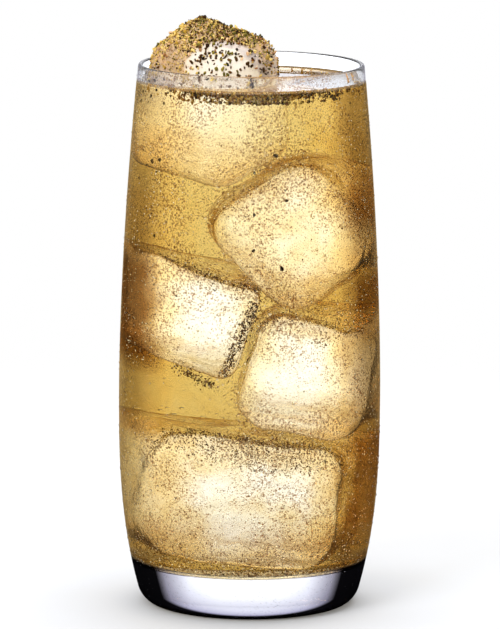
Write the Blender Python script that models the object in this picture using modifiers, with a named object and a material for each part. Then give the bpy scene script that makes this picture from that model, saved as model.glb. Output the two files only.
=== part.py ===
"""A long whisky sour: amber drink and ice in a tall tumbler, dusted with coarse spice.

Metres, +Z up. The origin is the centre of the tumbler's foot, on the surface that it stands on.
The ice that is wholly sunk in the drink isn't a solid here: the drink is solid up to its level,
with a pocket for the one block of ice that stands out of it.
"""

import math
import random

import bmesh
import bpy
from mathutils import Euler, Matrix, Vector, noise

# Tumbler, outside
HEIGHT = 0.1453
BELLY_RADIUS = 0.0350
BELLY_HEIGHT = 0.0559
RIM_RADIUS = 0.03007
BASE_RADIUS = 0.02853
SHOULDER_POWER = 1.76
BASE_POWER = 2.71
FOOT_FLAT_RADIUS = 0.0254
FOOT_HEIGHT = 0.0042

# Tumbler, inside
WALL_AT_RIM = 0.0011
WALL_AT_FLOOR = 0.0019
FLOOR_HEIGHT = 0.0115
FLOOR_FLAT_RADIUS = 0.0246
FLOOR_CORNER_HEIGHT = 0.0032

# Drink
LEVEL = HEIGHT - 0.0050
MENISCUS_RISE = 0.0011
MENISCUS_WIDTH = 0.0010
CLEARANCE = 0.0003

# Ice that stands out of the drink
ICE_SIZE = Vector((0.0309, 0.0271, 0.0385))
ICE_CORNER_RADIUS = 0.0084
ICE_CENTRE = Vector((-0.0100, -0.0018, HEIGHT - 0.0102))
ICE_TURN = Euler((math.radians(23.1), math.radians(15.6), math.radians(-32.2)))
ICE_GRID = 9
DENT_DEPTHS = ((0.0005, 0.016), (0.00016, 0.007))

# Spice
SEED = 31
ICE_CRUMBS = 118
ICE_CRUMB_RADII = (0.00050, 0.00095)
FLOATING_CRUMBS = 64
FLOATING_CRUMB_RADII = (0.00050, 0.00090)
CRUMB_SPACING = 1.12
CRUMB_FLATNESS = (0.60, 1.0)
CRUMB_ROUGHNESS = 0.22
CRUMB_STAND = 0.2
CRUMB_TRIES = 400
DUSTED_ABOVE = LEVEL + 0.0022
FRONT_SHARE = 0.6
FRONT_SPREAD = 0.55
WALL_BAND = 0.0060
USUAL_FROM_WALL = 0.0013
BARE_WINDOW = ((0.0085, 0.0235), (-0.0145, 0.0145))

# Facets
TURNED_STEPS = 44
WALL_BANDS = 10
CORNER_BANDS = 6
RIM_BANDS = 4


def clear_scene():
    """Takes every object out of the file, so that only the model is left."""
    for thing in list(bpy.data.objects):
        bpy.data.objects.remove(thing, do_unlink=True)


def new_collection(name):
    """A collection linked to the scene."""
    made = bpy.data.collections.new(name)
    bpy.context.scene.collection.children.link(made)
    return made


def material(name, colour, roughness, transmission):
    """A Principled BSDF with one colour."""
    made = bpy.data.materials.new(name)
    made.use_nodes = True
    shader = made.node_tree.nodes["Principled BSDF"]
    shader.inputs["Base Color"].default_value = (*colour, 1.0)
    shader.inputs["Roughness"].default_value = roughness
    shader.inputs["Metallic"].default_value = 0.0
    shader.inputs["Transmission Weight"].default_value = transmission
    return made


def object_from(name, shape, collection, finish=None):
    """A mesh object from a bmesh, which is freed."""
    mesh = bpy.data.meshes.new(name)
    shape.to_mesh(mesh)
    shape.free()
    made = bpy.data.objects.new(name, mesh)
    collection.objects.link(made)
    if finish:
        mesh.materials.append(finish)
    return made


def outer_radius(z):
    """Outside radius of the tumbler's wall, widest at the belly, before the foot is rounded."""
    if z >= BELLY_HEIGHT:
        share = (z - BELLY_HEIGHT) / (HEIGHT - BELLY_HEIGHT)
        return BELLY_RADIUS - (BELLY_RADIUS - RIM_RADIUS) * share**SHOULDER_POWER
    share = (BELLY_HEIGHT - z) / BELLY_HEIGHT
    return BELLY_RADIUS - (BELLY_RADIUS - BASE_RADIUS) * share**BASE_POWER


def inner_radius(z):
    """Inside radius of the tumbler's wall, before the corner of the floor is rounded."""
    share = (z - FLOOR_HEIGHT) / (HEIGHT - FLOOR_HEIGHT)
    return outer_radius(z) - WALL_AT_FLOOR - (WALL_AT_RIM - WALL_AT_FLOOR) * share


def corner_points(flat_radius, wall_radius, low, height, inset=0.0):
    """Points from the edge of a flat disc round a corner that runs smoothly into the wall."""
    cut_back = wall_radius(low) - flat_radius
    for step in range(CORNER_BANDS + 1):
        angle = math.pi / 2 * step / CORNER_BANDS
        z = low + height * (1 - math.cos(angle))
        r = wall_radius(z) - cut_back * (1 - math.sin(angle))
        yield r - inset * math.sin(angle), z + inset * math.cos(angle)


def wall_heights(low, high):
    """Heights along a wall, evenly spaced, without its two ends."""
    return [low + (high - low) * step / WALL_BANDS for step in range(1, WALL_BANDS)]


def cavity_profile(top, inset):
    """Inside of the tumbler from the axis on its floor up to a height, moved inwards by an inset."""
    corner = corner_points(
        FLOOR_FLAT_RADIUS, inner_radius, FLOOR_HEIGHT, FLOOR_CORNER_HEIGHT, inset
    )
    heights = wall_heights(FLOOR_HEIGHT + FLOOR_CORNER_HEIGHT, top)
    points = [(0.0, FLOOR_HEIGHT + inset)] + list(corner)
    return points + [(inner_radius(z) - inset, z) for z in heights]


def rim_profile():
    """The rounded rim, from the inner wall over to the outer wall."""
    half = WALL_AT_RIM / 2
    for step in range(RIM_BANDS + 1):
        angle = math.pi * step / RIM_BANDS
        yield RIM_RADIUS - half - half * math.cos(angle), HEIGHT - half + half * math.sin(angle)


def glass_profile():
    """The tumbler's whole section, from the axis on its floor over the rim to the axis below."""
    foot = list(corner_points(FOOT_FLAT_RADIUS, outer_radius, 0.0, FOOT_HEIGHT))
    rim_foot = HEIGHT - WALL_AT_RIM / 2
    outside = [(outer_radius(z), z) for z in wall_heights(FOOT_HEIGHT, rim_foot)]
    points = cavity_profile(rim_foot, 0.0) + list(rim_profile())
    return points + outside[::-1] + foot[::-1] + [(0.0, 0.0)]


def surface_height(r):
    """Height of the drink's surface, which creeps up where it meets the wall."""
    edge = inner_radius(LEVEL) - CLEARANCE
    return LEVEL + MENISCUS_RISE * math.exp(-(edge - r) / MENISCUS_WIDTH)


def drink_profile():
    """The drink's section: out along its surface, down the wall and in along the floor."""
    edge = inner_radius(LEVEL + MENISCUS_RISE) - CLEARANCE
    inward = (0.0045, 0.0025, 0.0013, 0.0005, 0.0)
    surface = [(edge - x, surface_height(edge - x)) for x in inward]
    body = cavity_profile(surface[-1][1], CLEARANCE)
    return [(0.0, LEVEL)] + surface + body[::-1]


def turned(name, profile, collection, finish):
    """A body turned about Z from a section in the XZ plane."""
    shape = bmesh.new()
    points = [shape.verts.new((r, 0.0, z)) for r, z in profile]
    for first, second in zip(points, points[1:]):
        shape.edges.new((first, second))
    made = object_from(name, shape, collection, finish)
    screw = made.modifiers.new("Turned", "SCREW")
    screw.axis = "Z"
    screw.steps = TURNED_STEPS
    screw.render_steps = TURNED_STEPS
    screw.use_merge_vertices = True
    screw.merge_threshold = 0.00001
    return made


def melted_point(unit, size, corner):
    """Point of a rounded, slightly dented block, for a point on the cube from -1 to 1."""
    outer = Vector(unit[i] * size[i] / 2 for i in range(3))
    core = Vector(
        max(-(size[i] / 2 - corner), min(size[i] / 2 - corner, outer[i])) for i in range(3)
    )
    outward = (outer - core).normalized()
    point = core + outward * corner
    dent = sum(
        depth * noise.noise(point / wavelength + Vector((seed, 0, 0)))
        for seed, (depth, wavelength) in enumerate(DENT_DEPTHS, 3)
    )
    return point + outward * dent


def ice_shape(growth):
    """The block of ice as a bmesh in place, moved outwards by a growth."""
    shape = bmesh.new()
    bmesh.ops.create_cube(shape, size=2.0)
    bmesh.ops.subdivide_edges(
        shape, edges=shape.edges[:], cuts=ICE_GRID - 1, use_grid_fill=True
    )
    for vert in shape.verts:
        vert.co = melted_point(vert.co, ICE_SIZE, ICE_CORNER_RADIUS)
    shape.normal_update()
    grown = [vert.co + vert.normal * growth for vert in shape.verts]
    for vert, place in zip(shape.verts, grown):
        vert.co = place
    placed = Matrix.LocRotScale(ICE_CENTRE, ICE_TURN, None)
    bmesh.ops.transform(shape, matrix=placed, verts=shape.verts)
    bmesh.ops.triangulate(shape, faces=shape.faces)
    shape.normal_update()
    return shape


def crumb(name, place, radius, draw, collection):
    """One angular crumb of spice, turned at random."""
    shape = bmesh.new()
    bmesh.ops.create_icosphere(shape, subdivisions=1, radius=radius)
    for vert in shape.verts:
        vert.co *= draw.uniform(1 - CRUMB_ROUGHNESS, 1.0)
    stretch = Matrix.Diagonal((1.0, draw.uniform(*CRUMB_FLATNESS), draw.uniform(*CRUMB_FLATNESS)))
    turn = Euler([draw.uniform(0, math.tau) for _ in range(3)]).to_matrix()
    bmesh.ops.transform(
        shape, matrix=Matrix.Translation(place) @ (turn @ stretch).to_4x4(), verts=shape.verts
    )
    return object_from(name, shape, collection)


def crumb_radii(count, limits):
    """Crumb radii, largest first, with more small ones than large ones."""
    small, large = limits
    return [large - (large - small) * math.sqrt(i / (count - 1)) for i in range(count)]


def is_free(place, radius, taken):
    """True where a crumb of that radius is clear of the crumbs already placed."""
    return all(
        (place - other).length > CRUMB_SPACING * (radius + other_radius)
        for other, other_radius in taken
    )


def dusting(normal):
    """How thickly the spice lies on ice that faces a way: thick on top and to the left."""
    upward = max(0.0, normal.z)
    leftward = max(0.0, -normal.x)
    return min(1.0, 0.9 * upward**2 + 1.3 * leftward * (0.25 + upward) + 0.06)


def ice_crumb_places(draw):
    """Places of the crumbs on the ice: (centre, radius)."""
    shape = ice_shape(0.0)
    dry = [f for f in shape.faces if f.calc_center_median().z > DUSTED_ABOVE]
    areas = [f.calc_area() for f in dry]
    taken = []
    for radius in crumb_radii(ICE_CRUMBS, ICE_CRUMB_RADII):
        for _ in range(CRUMB_TRIES):
            face = draw.choices(dry, areas)[0]
            shares = [-math.log(1 - draw.random()) for _ in range(3)]
            spot = sum(
                (v.co * s for v, s in zip(face.verts, shares)), Vector()
            ) / sum(shares)
            place = spot + face.normal * radius * CRUMB_STAND
            reach = place.xy.length + radius + CLEARANCE
            inside = place.z > HEIGHT + radius or reach < inner_radius(min(place.z, HEIGHT))
            if inside and draw.random() < dusting(face.normal) and is_free(place, radius, taken):
                taken.append((place, radius))
                break
    shape.free()
    return taken


def distance_to_ice(place):
    """Distance from a point to the ice, taken as a rounded block without its dents."""
    local = Matrix.LocRotScale(ICE_CENTRE, ICE_TURN, None).inverted() @ place
    over = [
        max(0.0, abs(local[i]) - (ICE_SIZE[i] / 2 - ICE_CORNER_RADIUS)) for i in range(3)
    ]
    return Vector(over).length - ICE_CORNER_RADIUS


def in_bare_window(place):
    """True over the clear patch of the drink, to the right of the ice."""
    return all(low < place[i] < high for i, (low, high) in enumerate(BARE_WINDOW))


def floating_crumb_places(draw):
    """Places of the crumbs that float on the drink, most of them gathered at the front wall."""
    taken = []
    for radius in crumb_radii(FLOATING_CRUMBS, FLOATING_CRUMB_RADII):
        for _ in range(CRUMB_TRIES):
            at_front = draw.random() < FRONT_SHARE
            front = draw.gauss(-math.pi / 2, FRONT_SPREAD)
            angle = front if at_front else draw.uniform(0, math.tau)
            from_wall = min(WALL_BAND, draw.expovariate(1 / USUAL_FROM_WALL))
            r = inner_radius(LEVEL) - 2 * CLEARANCE - radius - from_wall
            place = Vector((r * math.cos(angle), r * math.sin(angle), surface_height(r)))
            clear = distance_to_ice(place) > radius + 2 * CLEARANCE + max(
                depth for depth, _ in DENT_DEPTHS
            )
            if clear and not in_bare_window(place) and is_free(place, radius, taken):
                taken.append((place, radius))
                break
    return taken


def fuse_crumbs(target, places, draw):
    """Joins the crumbs to what they lie on, with one Boolean union that is applied."""
    loose = new_collection(target.name + "_crumbs")
    for number, (place, radius) in enumerate(places):
        crumb(f"{target.name}_crumb_{number}", place, radius, draw, loose)
    union = target.modifiers.new("Spice", "BOOLEAN")
    union.operation = "UNION"
    union.solver = "EXACT"
    union.operand_type = "COLLECTION"
    union.collection = loose
    apply_modifiers(target)
    for thing in list(loose.objects):
        bpy.data.objects.remove(thing, do_unlink=True)
    bpy.data.collections.remove(loose)


def apply_modifiers(target):
    """Replaces an object's mesh with the one that its modifiers make."""
    graph = bpy.context.evaluated_depsgraph_get()
    finished = bpy.data.meshes.new_from_object(target.evaluated_get(graph))
    target.modifiers.clear()
    target.data = finished


def build_glass(collection):
    """The clear tumbler with its heavy foot."""
    finish = material("clear_glass", (0.93, 0.94, 0.96), 0.03, 1.0)
    return turned("glass", glass_profile(), collection, finish)


def build_ice(collection, draw):
    """The block of ice that stands out of the drink, with the spice on its dry side."""
    finish = material("ice", (0.93, 0.90, 0.82), 0.15, 0.6)
    ice = object_from("ice_top", ice_shape(0.0), collection, finish)
    fuse_crumbs(ice, ice_crumb_places(draw), draw)
    return ice


def build_drink(collection, helpers, draw):
    """The drink up to its level, with a pocket round the ice and the spice that floats on it."""
    finish = material("amber_drink", (0.80, 0.56, 0.20), 0.05, 0.6)
    drink = turned("drink", drink_profile(), collection, finish)
    pocket = object_from("ice_pocket", ice_shape(CLEARANCE), helpers)
    pocket.hide_render = True
    pocket.display_type = "WIRE"
    cut = drink.modifiers.new("Pocket", "BOOLEAN")
    cut.operation = "DIFFERENCE"
    cut.solver = "EXACT"
    cut.object = pocket
    apply_modifiers(drink)
    fuse_crumbs(drink, floating_crumb_places(draw), draw)
    return drink


def shade_round(thing):
    """Smooth shading, with edges sharper than 40 degrees kept."""
    thing.data.shade_smooth()
    thing.data.set_sharp_from_angle(angle=math.radians(40))


def main():
    clear_scene()
    model = new_collection("whisky_sour")
    helpers = new_collection("cutters")
    draw = random.Random(SEED)
    parts = [
        build_glass(model),
        build_ice(model, draw),
        build_drink(model, helpers, draw),
    ]
    for part in parts:
        shade_round(part)


main()
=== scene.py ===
"""The looks of a long whisky sour: a barrel-shaped tumbler, its amber drink, ice and coarse spice.

Everything is in metres, +Z up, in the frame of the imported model: the origin is the centre of the
tumbler's foot, and -Y points towards the viewer.
"""

import logging
import math
import random
from dataclasses import dataclass, field
from enum import Enum
from typing import Any, Iterator, Sequence

import bmesh
import bpy
import numpy as np
from mathutils import Euler, Matrix, Vector, noise


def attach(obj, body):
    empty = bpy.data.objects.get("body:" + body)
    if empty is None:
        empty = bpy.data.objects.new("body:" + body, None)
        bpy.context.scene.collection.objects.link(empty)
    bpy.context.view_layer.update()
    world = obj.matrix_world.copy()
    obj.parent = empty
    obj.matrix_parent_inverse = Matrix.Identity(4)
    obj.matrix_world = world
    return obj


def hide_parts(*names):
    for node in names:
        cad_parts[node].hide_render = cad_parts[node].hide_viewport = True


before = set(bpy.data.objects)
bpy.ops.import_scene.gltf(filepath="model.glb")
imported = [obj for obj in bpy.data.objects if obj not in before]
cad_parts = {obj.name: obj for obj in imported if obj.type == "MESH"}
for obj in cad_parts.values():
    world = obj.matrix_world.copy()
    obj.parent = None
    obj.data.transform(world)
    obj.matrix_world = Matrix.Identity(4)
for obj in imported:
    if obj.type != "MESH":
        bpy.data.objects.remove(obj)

logging.basicConfig(level=logging.INFO, format="%(message)s")
LOG = logging.getLogger("whisky_sour")

MM = 0.001
SEED = 31

# How far the drink reaches into the glass and the ice, so that no air shows between them
REACH = 0.06 * MM

# How much further than its first gleam a wet surface has to turn from the eye to mirror fully
MIRRORS_OVER = 0.12

Colour = tuple[float, float, float, float]
Ring = list[Vector]


def linear(hex_colour: str) -> Colour:
    """Turns an sRGB hex colour into a linear one.

    Args:
        hex_colour: six hex digits, with or without a leading hash.

    Returns:
        Linear red, green and blue, and an alpha of 1.
    """
    digits = hex_colour.lstrip("#")
    shares = [int(digits[i : i + 2], 16) / 255 for i in (0, 2, 4)]
    return tuple(s / 12.92 if s <= 0.04045 else ((s + 0.055) / 1.055) ** 2.4 for s in shares) + (1.0,)


def per_metre(millimetres: float) -> float:
    """The scale of a procedural texture whose features are that many millimetres apart."""
    return 1.0 / (millimetres * MM)


def smooth_step(low: float, high: float, value: float) -> float:
    """Rises smoothly from 0 at the low edge to 1 at the high edge."""
    share = min(1.0, max(0.0, (value - low) / (high - low)))
    return share * share * (3 - 2 * share)


def add_node(
    tree: bpy.types.NodeTree,
    kind: str,
    settings: dict[str, Any] | None = None,
    inputs: dict[str | int, Any] | None = None,
) -> bpy.types.Node:
    """Adds a node with its settings, its values and its links.

    Args:
        tree: the node tree that takes the node.
        kind: the node's type without its "ShaderNode" prefix.
        settings: properties of the node.
        inputs: for each input, by name or number, a value or the output socket that feeds it.

    Returns:
        The new node.
    """
    node = tree.nodes.new("ShaderNode" + kind)
    for name, value in (settings or {}).items():
        setattr(node, name, value)
    for name, value in (inputs or {}).items():
        if isinstance(value, bpy.types.NodeSocket):
            tree.links.new(value, node.inputs[name])
        else:
            node.inputs[name].default_value = value
    return node


def ramp(node: bpy.types.Node, stops: Sequence[tuple[float, Colour]]) -> bpy.types.Node:
    """Sets a colour ramp's stops, from the lowest to the highest.

    Args:
        node: a ColorRamp node.
        stops: position and colour of each stop.

    Returns:
        The same node.
    """
    elements = node.color_ramp.elements
    while len(elements) < len(stops):
        elements.new(1.0)
    for element, (position, colour) in zip(elements, stops):
        element.position = position
        element.color = colour
    return node


def grey(value: float) -> Colour:
    """A grey of that linear value."""
    return (value, value, value, 1.0)


def new_material(name: str) -> tuple[bpy.types.Material, bpy.types.NodeTree, bpy.types.Node]:
    """An empty node material.

    Args:
        name: the material's name.

    Returns:
        The material, its node tree and its output node.
    """
    made = bpy.data.materials.new(name)
    made.use_nodes = True
    tree = made.node_tree
    tree.nodes.clear()
    output = add_node(tree, "OutputMaterial")
    return made, tree, output


def let_light_through(
    tree: bpy.types.NodeTree, shader: bpy.types.NodeSocket, tint: Colour | bpy.types.NodeSocket
) -> bpy.types.NodeSocket:
    """Lets shadow rays pass straight through a clear body, so that it throws a pale shadow.

    Args:
        tree: the material's node tree.
        shader: what every other ray meets.
        tint: the colour that one surface leaves in the light.

    Returns:
        The combined shader's socket.
    """
    rays = add_node(tree, "LightPath")
    clear = add_node(tree, "BsdfTransparent", inputs={"Color": tint})
    mixed = add_node(
        tree, "MixShader", inputs={0: rays.outputs["Is Shadow Ray"], 1: shader, 2: clear.outputs[0]}
    )
    return mixed.outputs[0]


def wet_surface(
    tree: bpy.types.NodeTree,
    colour: bpy.types.NodeSocket | Colour,
    ior: float,
    in_air: bpy.types.NodeSocket | float,
    along_from: float,
    normal: bpy.types.NodeSocket | None = None,
) -> bpy.types.NodeSocket:
    """A clear surface that mirrors in the air, but under the drink only where it is seen along.

    Two wet bodies mirror almost nothing where they touch, since they bend light nearly alike.

    Args:
        tree: the material's node tree.
        colour: what the surface leaves of the light.
        ior: how strongly it bends light.
        in_air: 1 where the surface lies in the air and 0 where it is sunk or lies against the glass.
        along_from: how far it turns away from the eye, from 0 to 1, where it starts to mirror.
        normal: the bumped normal, where there is one.

    Returns:
        The shader's socket.
    """
    values = {"Color": colour, "Roughness": 0.0, "IOR": ior}
    if normal is not None:
        values["Normal"] = normal
    clear = add_node(tree, "BsdfRefraction", inputs=values)
    glossy = add_node(tree, "BsdfGlass", inputs=values)
    facing = add_node(tree, "LayerWeight", inputs={"Blend": 0.5}).outputs["Facing"]
    along = add_node(
        tree,
        "MapRange",
        inputs={"Value": facing, "From Min": along_from, "From Max": along_from + MIRRORS_OVER},
    )
    share = add_node(tree, "Math", {"operation": "MAXIMUM"}, {0: along.outputs[0], 1: in_air})
    mixed = add_node(
        tree, "MixShader", inputs={0: share.outputs[0], 1: clear.outputs[0], 2: glossy.outputs[0]}
    )
    return mixed.outputs[0]


def mesh_object(name: str, mesh: bpy.types.Mesh) -> bpy.types.Object:
    """A linked object for a mesh, shaded smooth."""
    made = bpy.data.objects.new(name, mesh)
    bpy.context.scene.collection.objects.link(made)
    mesh.shade_smooth()
    return made


def from_bmesh(name: str, shape: bmesh.types.BMesh) -> bpy.types.Object:
    """A linked object made from a bmesh, which is freed."""
    mesh = bpy.data.meshes.new(name)
    shape.to_mesh(mesh)
    shape.free()
    return mesh_object(name, mesh)


def closed_rings(name: str, start: Vector, rings: Sequence[Ring], end: Vector) -> bpy.types.Object:
    """A closed body through a row of rings, with a point at each end.

    Args:
        name: the object's name.
        start: the point before the first ring.
        rings: rings with equal numbers of points, in order.
        end: the point after the last ring.

    Returns:
        The object, with its faces pointing out.
    """
    shape = bmesh.new()
    first = shape.verts.new(start)
    loops = [[shape.verts.new(point) for point in ring] for ring in rings]
    last = shape.verts.new(end)
    count = len(loops[0])
    for i in range(count):
        j = (i + 1) % count
        shape.faces.new((first, loops[0][i], loops[0][j]))
        shape.faces.new((last, loops[-1][j], loops[-1][i]))
        for inner, outer in zip(loops, loops[1:]):
            shape.faces.new((inner[i], outer[i], outer[j], inner[j]))
    bmesh.ops.recalc_face_normals(shape, faces=shape.faces)
    return from_bmesh(name, shape)


def circle(radius: float, height: float, count: int) -> Ring:
    """Points round the axis at one height."""
    turns = (math.tau * i / count for i in range(count))
    return [Vector((radius * math.cos(a), radius * math.sin(a), height)) for a in turns]


def apply_modifiers(thing: bpy.types.Object) -> None:
    """Replaces an object's mesh with the one that its modifiers make."""
    graph = bpy.context.evaluated_depsgraph_get()
    finished = bpy.data.meshes.new_from_object(thing.evaluated_get(graph))
    thing.modifiers.clear()
    thing.data = finished
    finished.shade_smooth()


def dress(piece: bpy.types.Object, material: bpy.types.Material, slot: str, *nodes: str) -> None:
    """Gives a piece its material and its place in the frame.

    Args:
        piece: the piece, which rides on the one body that the drink is.
        material: its finish.
        slot: the record's material slot that the finish belongs to; not used.
        nodes: the CAD nodes that the piece stands for.
    """
    piece.data.materials.clear()
    piece.data.materials.append(material)
    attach(piece, "root")
    if nodes:
        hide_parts(*nodes)
    LOG.info("%s: %d faces in %s", piece.name, len(piece.data.polygons), material.name)


@dataclass(frozen=True)
class BeadPattern:
    """Fine beads of water, or bubbles, too many to be pieces of their own.

    Each bead is drawn with a bright middle in a dark ring, painted shade for its steep rim sending the
    light aside, and some carry a painted highlight where they would catch a lamp. The finest real beads
    are under 0.2 mm, too small for the picture, so they are drawn coarser.
    """

    spacing_mm: float
    least: float
    most: float
    height_mm: float
    lit: float = 0.12
    hollow: float = 1.0

    def nodes(
        self, tree: bpy.types.NodeTree, place: bpy.types.NodeSocket, cover: bpy.types.NodeSocket
    ) -> tuple[bpy.types.NodeSocket, bpy.types.NodeSocket, bpy.types.NodeSocket]:
        """Draws the beads.

        Args:
            tree: the material's node tree.
            place: the point's place in metres.
            cover: from 0 to 1, how thickly the beads lie.

        Returns:
            The sockets of the beads' height in metres, of their painted dark rings and of their painted
            gleams.
        """
        cells = add_node(
            tree,
            "TexVoronoi",
            {"feature": "F1"},
            {"Vector": place, "Scale": per_metre(self.spacing_mm)},
        )
        chance = add_node(tree, "SeparateColor", inputs={0: cells.outputs["Color"]})
        size = add_node(
            tree,
            "MapRange",
            inputs={"Value": chance.outputs[0], "To Min": self.least, "To Max": self.most},
        )
        radius = add_node(tree, "Math", {"operation": "MULTIPLY"}, {0: size.outputs[0], 1: cover})
        across = add_node(
            tree, "Math", {"operation": "DIVIDE"}, {0: cells.outputs["Distance"], 1: radius.outputs[0]}
        ).outputs[0]
        dome = add_node(
            tree,
            "MapRange",
            {"interpolation_type": "SMOOTHSTEP"},
            {"Value": across, "From Min": 1.0, "From Max": 0.0, "To Max": self.height_mm * MM},
        )
        shape = ramp(
            add_node(tree, "ValToRGB", inputs={"Fac": across}),
            [(0.25, grey(1.0 - self.hollow)), (0.60, grey(1.0)), (0.85, grey(1.0)), (1.0, grey(0.0))],
        )
        few = add_node(tree, "Math", {"operation": "POWER"}, {0: chance.outputs[2], 1: 1.5})
        depth = add_node(tree, "MapRange", inputs={"Value": few.outputs[0], "To Min": 0.3, "To Max": 1.0})
        ring = add_node(
            tree, "Math", {"operation": "MULTIPLY"}, {0: shape.outputs[0], 1: depth.outputs[0]}
        )
        middle = add_node(
            tree, "MapRange", inputs={"Value": across, "From Min": 0.6, "From Max": 0.3}
        )
        chosen = add_node(tree, "Math", {"operation": "LESS_THAN"}, {0: chance.outputs[1], 1: self.lit})
        gleam = add_node(
            tree, "Math", {"operation": "MULTIPLY"}, {0: middle.outputs[0], 1: chosen.outputs[0]}
        )
        return dome.outputs[0], ring.outputs[0], gleam.outputs[0]


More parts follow.
